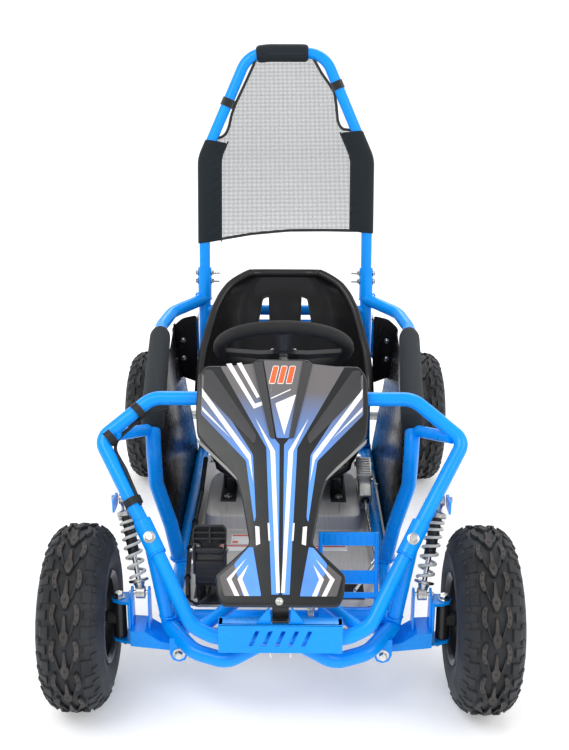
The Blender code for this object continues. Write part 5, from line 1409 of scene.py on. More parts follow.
def build_seat():
    across = [math.sin(math.pi / 2 * (i / 17 - 1)) if i < 17 else math.sin(math.pi / 2 * (i - 17) / 17)
              for i in range(35)]
    across = sorted(set(round(a, 5) for a in across))
    thick = 0.0045
    stations = [1 - (1 - i / 64) ** 1.5 for i in range(65)]
    rings = [seat_row(t, 0.0, across) + seat_row(t, thick, across)[::-1] for t in stations]
    bm = bmesh.new()
    add_skin(bm, rings)
    shell = piece("seat_bucket", bm, SEAT_PLASTIC, replaces=("seat_shell",), sharp=50)
    cut_bm = bmesh.new()
    slot_outline = [(0.036, 0.547), (0.053, 0.541), (0.063, 0.486), (0.034, 0.486)]
    for side in (-1, 1):
        shape = rounded([(side * x, z) for x, z in slot_outline], 0.006)
        add_plate(cut_bm, [(x, 0.20, z) for x, z in shape], (0, 0.16, 0))
    bmesh.ops.recalc_face_normals(cut_bm, faces=cut_bm.faces)
    cutter_mesh = bpy.data.meshes.new("slots")
    cut_bm.to_mesh(cutter_mesh)
    cut_bm.free()
    cutter = bpy.data.objects.new("slot_cutter", cutter_mesh)
    bpy.context.collection.objects.link(cutter)
    hole = shell.modifiers.new("slots", "BOOLEAN")
    hole.object, hole.operation = cutter, "DIFFERENCE"
    apply_modifiers(shell)
    bpy.data.objects.remove(cutter)
    shell.data.shade_smooth()
    shell.data.set_sharp_from_angle(angle=math.radians(50))
    edge = [seat_row(t, thick * 0.5, (1.0,))[0] for t in stations]
    top = [p for p in seat_row(1.0, thick * 0.5, across)][::-1]
    front = [p for p in seat_row(0.0, thick * 0.5, across)]
    left = edge
    right = [Vector((-p.x, p.y, p.z)) for p in edge][::-1]
    loop = left + top[1:-1] + right + front[1:-1]
    bm = bmesh.new()
    add_sweep(bm, loop, 0.0095, 16, closed=True)
    for side in (-1, 1):
        shape = rounded([(side * x, z) for x, z in slot_outline], 0.006)
        ring_path = []
        for x, z in shape:
            t = next(k / 200 for k in range(120, 201) if curve_through([p[1] for p in SEAT_SPINE],
                                                                       k / 200) >= z)
            y = curve_through([p[0] for p in SEAT_SPINE], t)
            ring_path.append(Vector((x, y + 0.0004, z)))
        add_sweep(bm, ring_path, 0.0026, 10, closed=True)
    piece("seat_lip", bm, SEAT_PLASTIC, sharp=80)
    bm, bolts = bmesh.new(), bmesh.new()
    for side in (-1, 1):
        x = side * 0.116
        for low, high in (((x - 0.016, -0.100, COVER_TOP + 0.0003), (x + 0.016, 0.052, COVER_TOP + 0.0045)),
                          ((x - 0.012, -0.040, COVER_TOP + 0.004), (x - 0.0085, 0.052, COVER_TOP + 0.0310)),
                          ((x + 0.0085, -0.040, COVER_TOP + 0.004), (x + 0.012, 0.052, COVER_TOP + 0.0310)),
                          ((x - 0.012, -0.040, COVER_TOP + 0.0275),
                           (x + 0.012, 0.052, COVER_TOP + 0.0310))):
            add_box(bm, low, high, 0.0010)
        add_bolt(bolts, (x, -0.083, COVER_TOP + 0.0045), Z_AXIS, 0.0062, domed=True)
        add_bolt(bolts, (x, 0.044, COVER_TOP + 0.0310), Z_AXIS, 0.0050, domed=True)
    add_box(bm, (-0.122, 0.010, COVER_TOP + 0.010), (0.122, 0.045, COVER_TOP + 0.014), 0.0010)
    piece("seat_channels", bm, BLACK_METAL, replaces=("seat_mount",))
    piece("seat_bolts", bolts, STEEL)


# ---- floor --------------------------------------------------------------------------------
def build_floor():
    half = 0.1814
    left = [(0.028, -0.466), (0.150, -0.466), (0.172, -0.458), (half, -0.440), (half, -0.325)]
    left += [(0.190 - 0.018 * math.sin(a), -0.300 - 0.018 * math.cos(a)) for a in (0.9, 1.25, 1.57, 1.89,
                                                                                   2.25)]
    left += [(half, -0.275), (half, 0.225)]
    right = [(-x, y) for x, y in reversed(left)]
    notch = [(-0.028, -0.345), (0.028, -0.345)]
    outline = left + right + notch
    bm = bmesh.new()
    add_plate(bm, [(x, y, FLOOR_TOP - 0.0025) for x, y in outline], (0, 0, 0.0025))
    cover = rounded([(0.160, -0.165), (0.160, 0.020), (0.146, 0.060), (-0.146, 0.060), (-0.160, 0.020),
                     (-0.160, -0.165)],
                    0.022, 8)
    levels = ((-0.0040, FLOOR_TOP + 0.0004), (-0.0012, FLOOR_TOP + 0.0024), (0.0, FLOOR_TOP + 0.0060),
              (0.0, COVER_TOP - 0.0060), (0.0018, COVER_TOP - 0.0018), (0.0060, COVER_TOP))
    add_skin(bm, [[(Vector((x, y, z))) for x, y in inset_outline(cover, i)] for i, z in levels])
    for side in (-1, 1):
        for width, lift in ((0.0042, 0.0012), (0.0030, 0.0018)):
            groove = [(side * 0.116 - width / 2, -0.150), (side * 0.116 + width / 2, -0.150),
                      (side * 0.116 + width / 2, -0.108), (side * 0.116 - width / 2, -0.108)]
            add_plate(bm, [(x, y, COVER_TOP - 0.0005) for x, y in groove], (0, 0, lift))
        ridge = [(side * 0.060, -0.440), (side * 0.064, -0.440), (side * 0.064, -0.300),
                 (side * 0.060, -0.300)]
        add_plate(bm, [(x, y, FLOOR_TOP - 0.0005) for x, y in ridge], (0, 0, 0.0016), draft=0.98)
    piece("floor_sheet", bm, SHEET, replaces=("floor_pan",), sharp=30)
    bm = bmesh.new()
    for x, y in ((-0.168, -0.342), (0.168, -0.342), (-0.168, -0.200), (0.168, -0.200), (-0.150, -0.445),
                 (0.166, -0.430), (-0.168, 0.190), (0.168, 0.190)):
        add_bolt(bm, (x, y, FLOOR_TOP), Z_AXIS, 0.0048, domed=True)
    piece("floor_bolts", bm, STEEL)
    bm = bmesh.new()
    for x0, x1, y0, y1, look in ((-0.132, -0.067, -0.255, -0.231, 0), (0.064, 0.128, -0.254, -0.231, 0),
                                 (-0.104, -0.066, -0.226, -0.186, 0)):
        add_box(bm, (x0, y0, FLOOR_TOP), (x1, y1, FLOOR_TOP + 0.0006), 0.0002, look=look)
        add_box(bm, (x0 + 0.002, y1 - 0.007, FLOOR_TOP), (x1 - 0.002, y1 - 0.002, FLOOR_TOP + 0.0009),
                0.0002, look=1)
        add_box(bm, (x0 + 0.003, y0 + 0.003, FLOOR_TOP), (x0 + 0.014, y0 + 0.012, FLOOR_TOP + 0.0009),
                0.0002, look=2)
    piece("floor_labels", bm, WHITE, more_looks=(RED, ORANGE))
    bm = bmesh.new()
    add_box(bm, (0.107, -0.440, FLOOR_TOP), (0.152, -0.385, FLOOR_TOP + 0.0008), 0.0003)
    draw = random.Random(7)
    for i in range(10):
        for k in range(8):
            spot = (0.110 + 0.0041 * i + draw.uniform(-0.0005, 0.0005), -0.436 + 0.0065 * k,
                    FLOOR_TOP + 0.0008)
            add_box(bm, (spot[0], spot[1], spot[2] - 0.0002),
                    (spot[0] + 0.0022, spot[1] + 0.0022, spot[2] + 0.0006), 0)
    piece("floor_grip_patch", bm, GRIP)


# ---- pedals and brake ---------------------------------------------------------------------
def build_brake():
    lean_angle = math.radians(15)
    lean = Vector((0, math.sin(lean_angle), math.cos(lean_angle)))
    flat = X_AXIS.cross(lean)
    bm = bmesh.new()
    add_lathe(bm, BRAKE - X_AXIS * 0.054, X_AXIS,
              ((0, 0.0122), (0, 0.0158), (0.001, 0.0165), (0.107, 0.0165),
                                                   (0.108, 0.0158), (0.108, 0.0122)), 32, closed=True)
    for side in (-1, 1):
        bar = BRAKE + X_AXIS * side * 0.050
        path = bent([bar + lean * 0.010, bar + lean * 0.153], 0.01)
        add_sweep(bm, path, 0.0039, 16)
    stub = BRAKE + lean * 0.039
    add_rod(bm, stub - X_AXIS * 0.050, stub + X_AXIS * 0.0665, 0.0055, 24)
    for low, high in ((0.060, 0.084), (0.129, 0.153)):
        outline = rounded([(-0.052, low), (0.052, low), (0.052, high), (-0.052, high)], 0.005, 4)
        add_plate(bm, [BRAKE + X_AXIS * x + lean * h - flat * 0.0015 for x, h in outline], flat * 0.003)
        for i in range(9):
            x = -0.044 + 0.011 * i
            spot = [BRAKE + X_AXIS * (x + a) + lean * (h) + flat * 0.0013 for a, h in
                    ((-0.0014, low + 0.004), (0.0014, low + 0.004), (0.0014, high - 0.004),
                     (-0.0014, high - 0.004))]
            add_plate(bm, spot, flat * 0.0012, draft=0.9)
    piece("ladder_pedal", bm, BLUE, "brake_pedal", ["brake_pedal"], sharp=28)
    bm = bmesh.new()
    turns, count = 3.5, 90
    start_x = BRAKE.x - 0.0665
    path = []
    for i in range(count + 1):
        t = i / count
        a = 2 * math.pi * turns * t + 1.2
        path.append(Vector((start_x + 0.0100 * (t - 0.5), BRAKE.y + 0.0134 * math.cos(a),
                            BRAKE.z + 0.0134 * math.sin(a))))
    path.append(Vector((start_x + 0.006, BRAKE.y + 0.012, BRAKE.z + 0.020)))
    path.append(Vector((start_x + 0.010, BRAKE.y + 0.020, BRAKE.z + 0.040)))
    add_sweep(bm, path, 0.0012, 8)
    piece("pedal_return_spring", bm, STEEL, sharp=80)
    build_cylinder(stub)


def build_cylinder(stub):
    tilt = math.radians(18)
    axis = Vector((0, math.cos(tilt), math.sin(tilt)))
    up = axis.cross(X_AXIS) * -1
    if up.z < 0:
        up = -up
    turn = Matrix.Rotation(tilt, 4, "X")
    bm = bmesh.new()
    add_lathe(bm, CYLINDER, axis,
              ((0.0, 0.0092), (0.0, 0.0128), (0.0012, 0.0140), (0.0110, 0.0140), (0.0125, 0.0120),
                                   (0.0900, 0.0120), (0.1060, 0.0120), (0.1080, 0.0105),
                                   (0.1080, 0.0060)), 40)
    block = CYLINDER + axis * 0.029
    add_box(bm, block - Vector((0.0135, 0.0290, 0.0135)), block + Vector((0.0135, 0.0290, 0.0135)),
            0.0025, turn=turn)
    middle = CYLINDER + axis * 0.076 + Z_AXIS * 0.012
    add_box(bm, middle - Vector((0.0150, 0.028, 0.012)), middle + Vector((0.0150, 0.028, 0.009)), 0.0025,
            turn=turn)
    cap = middle + up * 0.0105
    add_box(bm, cap - Vector((0.0163, 0.0295, 0.0030)), cap + Vector((0.0163, 0.0295, 0.0020)), 0.0016,
            turn=turn)
    for i in range(7):
        fin = cap + up * 0.0028 + axis * (-0.024 + 0.008 * i)
        add_box(bm, fin - Vector((0.0125, 0.0012, 0.0016)), fin + Vector((0.0125, 0.0012, 0.0016)),
                0.0005, turn=turn)
    add_box(bm, (0.163, -0.062, FLOOR_TOP + 0.0004), (0.176, -0.022, 0.218), 0.0015)
    add_box(bm, (0.158, -0.068, FLOOR_TOP + 0.0004), (0.1805, -0.016, FLOOR_TOP + 0.0040), 0.0012)
    piece("brake_cylinder", bm, ALLOY, replaces=("master_cylinder",), sharp=32)
    bm = bmesh.new()
    for side in (-1, 1):
        for d in (0.052, 0.100):
            add_bolt(bm, CYLINDER + axis * d + X_AXIS * side * 0.0145 + up * 0.010, X_AXIS * side, 0.0040)
    for x, y in ((-0.010, -0.020), (0.010, 0.020)):
        add_bolt(bm, cap + X_AXIS * x + axis * y + up * 0.0018, up, 0.0026, washer=False, domed=True)
    piece("cylinder_bolts", bm, STEEL)
    bm = bmesh.new()
    add_rod(bm, CYLINDER + axis * 0.034, CYLINDER + axis * 0.046, 0.0080, 28)
    path = bent([CYLINDER + axis * 0.036, CYLINDER - axis * 0.030, (0.1790, -0.340, 0.1930),
                 stub + X_AXIS * 0.0125 + Vector((0, 0.0126, 0.002))], 0.02)
    add_sweep(bm, path, 0.0031, 16)
    eye = stub + X_AXIS * 0.0625
    add_lathe(bm, eye - X_AXIS * 0.003, X_AXIS,
              ((0, 0.0108), (0, 0.0134), (0.0008, 0.0140), (0.0052, 0.0140),
                                                 (0.006, 0.0134), (0.006, 0.0108)), 32, closed=True)
    along = (Vector((0.1790, -0.340, 0.1930)) - CYLINDER).normalized()
    add_lathe(bm, CYLINDER + along * 0.170, along,
              ((0, 0.0048), (0.0006, 0.0056), (0.0054, 0.0056), (0.0060, 0.0048)), 6)
    piece("brake_rod", bm, STEEL, "brake_pushrod", ["brake_pushrod"], sharp=40)
    bm = bmesh.new()
    add_lathe(bm, CYLINDER - axis * 0.0012, axis,
              ((0, 0.0040), (0, 0.0086), (0.0016, 0.0086), (0.0016, 0.0040)), 28,
              closed=True)
    piece("cylinder_bore", bm, CABLE, sharp=80)
    line = [(0.1900, -0.020, 0.2360), (0.1965, -0.060, 0.2200), (0.2030, -0.140, 0.1880),
            (0.2050, -0.250, 0.1800),
            (0.2250, -0.268, 0.1600), (0.2140, -0.250, 0.1400), (0.1960, -0.160, 0.1360),
            (0.1960, 0.300, 0.1360),
            (0.1000, 0.420, 0.1300), (-0.0150, 0.4420, 0.1750), (-0.0320, 0.4420, 0.1900)]
    bm = bmesh.new()
    add_sweep(bm, bent(line, 0.02, 8), 0.0025, 14)
    for i in (1, 3):
        add_band(bm, Vector(line[i]), Vector(line[i + 1]) - Vector(line[i]), 0.0027, 0.004, 0.0010,
                 tail=Z_AXIS)
    piece("brake_hose", bm, SPRING_PAINT, replaces=("brake_line",), sharp=80)


def build_throttle():
    x, y, z = THROTTLE
    lean_angle = math.radians(15)
    up = Vector((0, math.sin(lean_angle), math.cos(lean_angle)))
    flat = X_AXIS.cross(up)
    bm = bmesh.new()
    add_box(bm, (x - 0.030, -0.462, FLOOR_TOP + 0.0003), (x + 0.030, -0.385, FLOOR_TOP + 0.0053), 0.0018)
    add_box(bm, (x - 0.0265, -0.446, 0.196), (x + 0.0265, -0.402, z - 0.015), 0.0030)
    for side in (-1, 1):
        cheek = x + side * 0.0275
        add_box(bm, (cheek - 0.0025, -0.443, z - 0.042), (cheek + 0.0025, y + 0.014, z + 0.008), 0.0018)
        foot = x + side * 0.018
        add_box(bm, (foot - 0.007, -0.442, FLOOR_TOP), (foot + 0.007, -0.404, 0.200), 0.0018)
        add_box(bm, (foot - 0.0015, -0.452, FLOOR_TOP), (foot + 0.0015, -0.440, 0.192), 0.0008)
    for k in range(3):
        add_box(bm, (x - 0.022, -0.4478, 0.204 + 0.012 * k), (x + 0.022, -0.4452, 0.2065 + 0.012 * k),
                0.0008)
    piece("throttle_stand", bm, BLACK_PLASTIC, replaces=("throttle_base",), sharp=30)
    bm = bmesh.new()
    add_rod(bm, (x - 0.036, y, z), (x + 0.036, y, z), 0.0030, 16)
    for side in (-1, 1):
        add_bolt(bm, (x + side * 0.0305, y, z), X_AXIS * side, 0.0046, domed=True)
        for yy in (-0.456, -0.391):
            add_bolt(bm, (x + side * 0.024, yy, FLOOR_TOP + 0.0053), Z_AXIS, 0.0040, domed=True)
    piece("throttle_pins", bm, STEEL)
    half = [(0.018, -0.002), (0.018, 0.013), (0.0305, 0.013), (0.0305, 0.040), (0.024, 0.047)]
    outline = rounded(half + [(-s, h) for s, h in reversed(half)], 0.005, 4)
    bm = bmesh.new()

    def pad_ring(inset, depth):
        return [Vector((x + s, y, z)) + up * h + flat * depth for s, h in inset_outline(outline, inset)]

    add_skin(bm, [pad_ring(0.0028, -0.0010), pad_ring(0.0024, 0.0075), pad_ring(0.0, 0.0075),
                  pad_ring(0.0, -0.0030), pad_ring(0.0010, -0.0040)])
    add_lathe(bm, (x - 0.0242, y, z), X_AXIS, ((0, 0.0036), (0, 0.0062), (0.001, 0.0070), (0.0474, 0.0070),
                                               (0.0484, 0.0062), (0.0484, 0.0036)), 28, closed=True)
    for a, b, low, high in ((-0.0014, 0.0014, 0.015, 0.0455), (-0.029, 0.029, 0.0220, 0.0242),
                            (-0.029, 0.029, 0.0330, 0.0352)):
        corners = [Vector((x + s, y, z)) + up * h - flat * 0.0015
                   for s, h in ((a, low), (b, low), (b, high), (a, high))]
        add_plate(bm, corners, flat * 0.0080)
    for k in range(5):
        low = 0.0165 + 0.0056 * k
        corners = [Vector((x + s, y, z)) + up * h - flat * 0.0038
                   for s, h in ((-0.022, low), (0.022, low), (0.022, low + 0.0022), (-0.022, low + 0.0022))]
        add_plate(bm, corners, flat * -0.0011, draft=0.95)
    piece("throttle_pad", bm, BLACK_PLASTIC, "throttle_pedal", ["throttle_pedal"], sharp=30)
    loom = [(-0.1740, 0.060, 0.2300), (-0.1760, -0.040, 0.1960), (-0.1790, -0.180, 0.1920),
            (-0.1790, -0.300, 0.1950), (-0.1745, -0.400, 0.1880), (-0.1690, -0.455, 0.1790)]
    bm = bmesh.new()
    add_sweep(bm, bent(loom, 0.04), lambda t: 0.0049 + 0.00035 * math.cos(t * 620), 14)
    add_sweep(bm, bent([(-0.130, -0.440, 0.190), (-0.132, -0.470, 0.188), (-0.150, -0.478, 0.176),
                        (-0.166, -0.462, 0.176), (-0.1700, -0.430, 0.184)], 0.012, 8), 0.0026, 14)
    piece("cable_loom", bm, CABLE, replaces=("wire_loom",), sharp=80)
    bm = bmesh.new()
    for i in (2, 3, 4):
        add_band(bm, Vector(loom[i]), Vector(loom[i + 1]) - Vector(loom[i - 1]), 0.0054, 0.0035, 0.0010,
                 tail=Z_AXIS)
    corner, bend = mirrored(LEG_TOP, -1), Vector((-0.235, HOOP_Y, HOOP_Z))
    hoop_cable = [Vector((-0.205, -0.352, 0.506)), bend.lerp(corner, 0.15) + Vector((0.004, 0, -0.016)),
                  corner + Vector((0.014, 0.002, -0.010)),
                  leg_point(0.420, -1) + Vector((0.0150, -0.006, 0.004)),
                  leg_point(0.372, -1) + Vector((0.0140, -0.008, 0))]
    add_sweep(bm, bent(hoop_cable, 0.03), 0.0032, 12)
    leg_axis = leg_point(1.0, -1) - leg_point(0.0, -1)
    for spot, along in ((bend.lerp(corner, 0.30), corner - bend),
                        (corner + Vector((0.010, 0.004, 0.004)), corner - bend),
                        (leg_point(0.374, -1), leg_axis)):
        add_band(bm, spot + Vector((0.0012, -0.0008, -0.0008)), along, 0.0146, 0.013, 0.0016)
    piece("cable_ties", bm, CABLE, sharp=60)


# ---- guards, battery and drive ------------------------------------------------------------
def build_guards():
    for side, word in SIDES:
        outline = [(0.286, 0.160), (-0.262, 0.160), (-0.272, 0.330), (-0.262, 0.420), (0.180, 0.452),
                   (0.290, 0.470), (0.306, 0.400)]
        soft = rounded(outline, 0.022, 6)
        bm = bmesh.new()

        def sheet(inset, shift):
            return [Vector((side * (0.2125 + 0.16 * (z - 0.178) + shift), y, z))
                    for y, z in inset_outline(soft, inset)]

        add_skin(bm, [sheet(0.0012, 0.0), sheet(0.0, 0.0006), sheet(0.0, 0.0024), sheet(0.0012, 0.0030),
                      sheet(0.020, 0.0030), sheet(0.023, 0.0046), sheet(0.040, 0.0046)])
        wall = rounded([(0.206, 0.335), (0.256, 0.355), (0.264, 0.470), (0.240, 0.492), (0.206, 0.500)],
                       0.008)
        add_plate(bm, [(side * x, 0.2700, z) for x, z in wall], (0, 0.004, 0))
        add_box(bm, (side * 0.2400 - 0.020, 0.2640, 0.385), (side * 0.2400 - 0.016, 0.2740, 0.480), 0.0010)
        piece("guard_sheet_" + word, bm, GLOSS_BLACK, replaces=("side_guard_" + word,), sharp=35)
        bm = bmesh.new()
        for y, z in ((-0.245, 0.196), (-0.250, 0.400), (0.266, 0.196), (0.010, 0.192), (0.272, 0.440)):
            spot = Vector((side * (0.2125 + 0.16 * (z - 0.178) + 0.0032), y, z))
            add_bolt(bm, spot, X_AXIS * side, 0.0050, domed=True)
        for x, y, z in ((0.2080, 0.2905, 0.486), (0.2105, 0.2880, 0.405)):
            add_bolt(bm, (side * x, y, z), -Y_AXIS, 0.0044, domed=True)
        for z in (0.396, 0.440):
            add_bolt(bm, (side * 0.238, 0.2700, z), -Y_AXIS, 0.0042, domed=True)
        piece("guard_bolts_" + word, bm, STEEL)


def build_battery():
    low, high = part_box("battery_box")
    bm = bmesh.new()
    add_box(bm, (low.x + 0.001, low.y + 0.001, low.z), (high.x - 0.001, high.y - 0.001, 0.139), 0.004)
    add_box(bm, (low.x + 0.001, low.y + 0.020, 0.130), (high.x - 0.001, high.y - 0.001, high.z - 0.002),
            0.004)
    for i in range(9):
        x = low.x + 0.024 + i * 0.032
        add_box(bm, (x - 0.003, low.y - 0.0006, low.z + 0.004), (x + 0.003, low.y + 0.003, 0.135), 0.001)
        add_box(bm, (x - 0.003, high.y - 0.004, low.z + 0.004), (x + 0.003, high.y + 0.0006, 0.190), 0.001)
    piece("battery_case", bm, BLACK_PLASTIC, replaces=("battery_box",), sharp=30)
    low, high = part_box("controller")
    bm = bmesh.new()
    add_box(bm, low, (high.x, high.y, high.z - 0.010), 0.0020)
    for i in range(11):
        x = low.x + 0.006 + i * 0.0108
        add_box(bm, (x - 0.0013, low.y + 0.002, high.z - 0.012), (x + 0.0013, high.y - 0.002, high.z),
                0.0004)
    piece("controller_case", bm, ALLOY, replaces=("controller",), sharp=30)
    bm = bmesh.new()
    for i, x in enumerate((-0.036, -0.018, 0.0)):
        path = [(x, 0.168, 0.180), (x - 0.008, 0.205, 0.188), (-0.062 + 0.010 * i, 0.250, 0.212),
                (-0.070 + 0.012 * i, 0.296, 0.240)]
        add_sweep(bm, bent(path, 0.02, 6), 0.0042, 14)
    piece("motor_cables", bm, CABLE, sharp=60)


def toothed(bm, centre, radius, root, teeth, thick, bore):
    """Sprocket plate with rounded teeth about an X axis, with a round bore."""
    outer = []
    for i in range(teeth):
        for part, reach in ((0.0, radius), (0.12, radius), (0.30, root + 0.0008), (0.5, root),
                            (0.70, root + 0.0008), (0.88, radius)):
            turn = 2 * math.pi * (i + part - 0.06) / teeth
            outer.append((turn, reach))
    rings = []
    for shift, drop in ((-thick / 2, 0.0008), (-thick / 2 + 0.0006, 0.0), (thick / 2 - 0.0006, 0.0),
                        (thick / 2, 0.0008)):
        rings.append([centre + Vector((shift, (r - drop) * math.cos(t), (r - drop) * math.sin(t)))
                      for t, r in outer])
    inner = [[centre + Vector((shift, bore * math.cos(t), bore * math.sin(t))) for t, _ in outer]
             for shift in (thick / 2, -thick / 2)]
    add_skin(bm, rings + inner, closed=True)


def build_drive():
    axle = Vector((0, REAR_Y, AXLE_Z))
    sprocket_at, pinion_at = centre_of("axle_sprocket"), centre_of("motor_pinion")
    bm = bmesh.new()
    low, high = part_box("rear_axle")
    half = high.x
    add_lathe(bm, axle, X_AXIS,
              ((-half, 0.0070), (-half + 0.001, 0.0080), (-half + 0.022, 0.0080), (-half + 0.023, 0.0125),
                                 (half - 0.023, 0.0125), (half - 0.022, 0.0080), (half - 0.001, 0.0080),
                                 (half, 0.0070)), 40)
    for x in (-0.176, 0.176):
        add_lathe(bm, axle + X_AXIS * x, X_AXIS,
                  ((-0.006, 0.0126), (-0.006, 0.0180), (-0.005, 0.0190), (0.005, 0.0190),
                                                  (0.006, 0.0180), (0.006, 0.0126)), 32, closed=True)
    piece("axle_shaft", bm, BRUSHED, "rear_axle", ["rear_axle"])
    bm = bmesh.new()
    toothed(bm, sprocket_at, 0.0620, 0.0580, 30, 0.004, 0.0300)
    add_lathe(bm, sprocket_at, X_AXIS,
              ((-0.011, 0.0128), (-0.011, 0.0180), (-0.010, 0.0190), (-0.0035, 0.0200),
                                        (-0.0030, 0.0320), (0.0030, 0.0320), (0.0035, 0.0200),
                                        (0.010, 0.0190),
                                        (0.011, 0.0180), (0.011, 0.0128)), 40, closed=True)
    for i in range(4):
        a = math.pi / 4 + i * math.pi / 2
        add_bolt(bm, sprocket_at + Vector((0.0030, 0.0255 * math.cos(a), 0.0255 * math.sin(a))), X_AXIS,
                 0.0040)
    piece("sprocket_ring", bm, STEEL, "rear_axle", ["axle_sprocket"], sharp=30)
    bm = bmesh.new()
    toothed(bm, pinion_at, 0.0150, 0.0116, 9, 0.004, 0.0062)
    add_lathe(bm, pinion_at, X_AXIS,
              ((-0.010, 0.0063), (-0.010, 0.0100), (-0.002, 0.0104), (0.002, 0.0104), (0.011, 0.0100),
                                      (0.011, 0.0063)), 28, closed=True)
    piece("pinion_gear", bm, STEEL, "motor_pinion", ["motor_pinion"], sharp=30)
    build_chain(sprocket_at, pinion_at)
    disc_at = centre_of("brake_disc")
    bm = bmesh.new()
    wave = []
    for i in range(120):
        t = 2 * math.pi * i / 120
        wave.append((t, 0.0696 - 0.0010 * abs(math.sin(6 * t))))
    rows = []
    for shift in (-0.0018, 0.0018):
        rows.append([disc_at + Vector((shift, r * math.cos(t), r * math.sin(t))) for t, r in wave])
    rows.append([disc_at + Vector((0.0018, 0.046 * math.cos(t), 0.046 * math.sin(t))) for t, r in wave])
    rows.append([disc_at + Vector((-0.0018, 0.046 * math.cos(t), 0.046 * math.sin(t))) for t, r in wave])
    add_skin(bm, rows, closed=True)
    for i in range(6):
        a = i * math.pi / 3
        out, round_way = Vector((0, math.cos(a), math.sin(a))), Vector((0, -math.sin(a), math.cos(a)))
        base = disc_at - X_AXIS * 0.0016
        add_plate(bm, [base + out * 0.020 - round_way * 0.007, base + out * 0.020 + round_way * 0.007,
                       base + out * 0.048 + round_way * 0.004, base + out * 0.048 - round_way * 0.004],
                       (0.0032, 0, 0))
        for k in range(3):
            b = a + k * 0.32 + 0.1
            spot = disc_at + Vector((0.0017, (0.053 + 0.0045 * k) * math.cos(b),
                                     (0.053 + 0.0045 * k) * math.sin(b)))
            add_lathe(bm, spot - X_AXIS * 0.0037, X_AXIS,
                      ((0, 0.0018), (0, 0.0026), (0.0040, 0.0026), (0.0040, 0.0018)), 12,
                      closed=True)
    add_lathe(bm, disc_at, X_AXIS,
              ((-0.012, 0.0128), (-0.012, 0.0185), (-0.003, 0.0220), (0.003, 0.0220), (0.012, 0.0185),
                                    (0.012, 0.0128)), 36, closed=True)
    piece("disc_rotor", bm, BRUSHED, "rear_axle", ["brake_disc"], sharp=30)
    low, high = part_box("brake_caliper")
    bm = bmesh.new()
    add_box(bm, low, (disc_at.x - 0.0045, high.y, high.z), 0.0035)
    add_box(bm, (disc_at.x + 0.0045, low.y, low.z), high, 0.0035)
    add_box(bm, (disc_at.x - 0.010, low.y, low.z + 0.004),
            (disc_at.x + 0.010, low.y + 0.010, high.z - 0.004), 0.0020)
    for z in (low.z + 0.010, high.z - 0.010):
        add_bolt(bm, (low.x, low.y + 0.012, z), -X_AXIS, 0.0048, look=1)
    piece("caliper_body", bm, ALLOY, replaces=("brake_caliper",), sharp=30,
          more_looks=(STEEL,))
    for side, word in SIDES:
        x = side * 0.196
        bm = bmesh.new()
        add_box(bm, (x - 0.020, REAR_Y - 0.043, 0.2082), (x + 0.020, REAR_Y + 0.043, 0.2160), 0.0015)
        add_lathe(bm, (x - 0.012, REAR_Y, AXLE_Z), X_AXIS,
                  ((0, 0.0140), (0, 0.0320), (0.002, 0.0340), (0.022, 0.0340),
                                                            (0.024, 0.0320), (0.024, 0.0250),
                                                            (0.021, 0.0240),
                                                            (0.021, 0.0140)), 44, closed=True)
        web = [(REAR_Y - 0.030, 0.178), (REAR_Y + 0.030, 0.178), (REAR_Y + 0.036, 0.2100),
               (REAR_Y - 0.036, 0.2100)]
        add_plate(bm, [(x - 0.010, y, z) for y, z in web], (0.020, 0, 0))
        for y in (REAR_Y - 0.035, REAR_Y + 0.035):
            add_bolt(bm, (x - side * 0.0145, y, 0.2082), -Z_AXIS, 0.0052, look=1)
        piece("bearing_housing_" + word, bm, ALLOY, replaces=("bearing_carrier_" + word,), sharp=30,
              more_looks=(STEEL,))
    build_motor()


def build_chain(big, small):
    """Roller chain: pairs of waisted plates and their pins along the closed run."""
    r_big, r_small = 0.0605, 0.0140
    between = small - big
    length = math.hypot(between.y, between.z)
    base = math.atan2(between.z, between.y)
    lean = math.acos((r_big - r_small) / length)
    run = []
    for centre, radius, start, end in ((big, r_big + 0.0055, base + lean, base + 2 * math.pi - lean),
                                       (small, r_small + 0.0055, base - lean, base + lean)):
        for i in range(41):
            t = start + (end - start) * i / 40
            run.append(Vector((big.x, centre.y + radius * math.cos(t), centre.z + radius * math.sin(t))))
    closed = run + [run[0]]
    total = sum((b - a).length for a, b in zip(closed, closed[1:]))
    links = round(total / 0.0127 / 2) * 2
    spots = fine_path(closed, links)[:-1]
    bm = bmesh.new()
    for i, spot in enumerate(spots):
        after = spots[(i + 1) % links]
        along = (after - spot).normalized()
        wide = along.cross(X_AXIS)
        add_rod(bm, spot - X_AXIS * 0.0046, spot + X_AXIS * 0.0046, 0.0017, 10)
        add_rod(bm, spot - X_AXIS * 0.0022, spot + X_AXIS * 0.0022, 0.0036, 14)
        offset = 0.0027 if i % 2 else 0.0038
        shape = []
        for t, w in ((0.0, 0.0), (0.0, 0.0038), (0.25, 0.0032), (0.5, 0.0026), (0.75, 0.0032),
                     (1.0, 0.0038)):
            shape.append((t, w))
        outline = [(-0.0034, 0.0), (-0.0024, 0.0026), (0.0, 0.0036), (0.0032, 0.0028), (0.0064, 0.0024),
                   (0.0095, 0.0028), (0.0127, 0.0036), (0.0151, 0.0026), (0.0161, 0.0)]
        full = outline + [(s, -w) for s, w in reversed(outline[1:-1])]
        for way in (-1, 1):
            low = [spot + along * s + wide * w + X_AXIS * (way * offset - 0.0005) for s, w in full]
            add_plate(bm, low, X_AXIS * 0.0010)
    piece("roller_chain", bm, STEEL, replaces=("chain",), sharp=30)


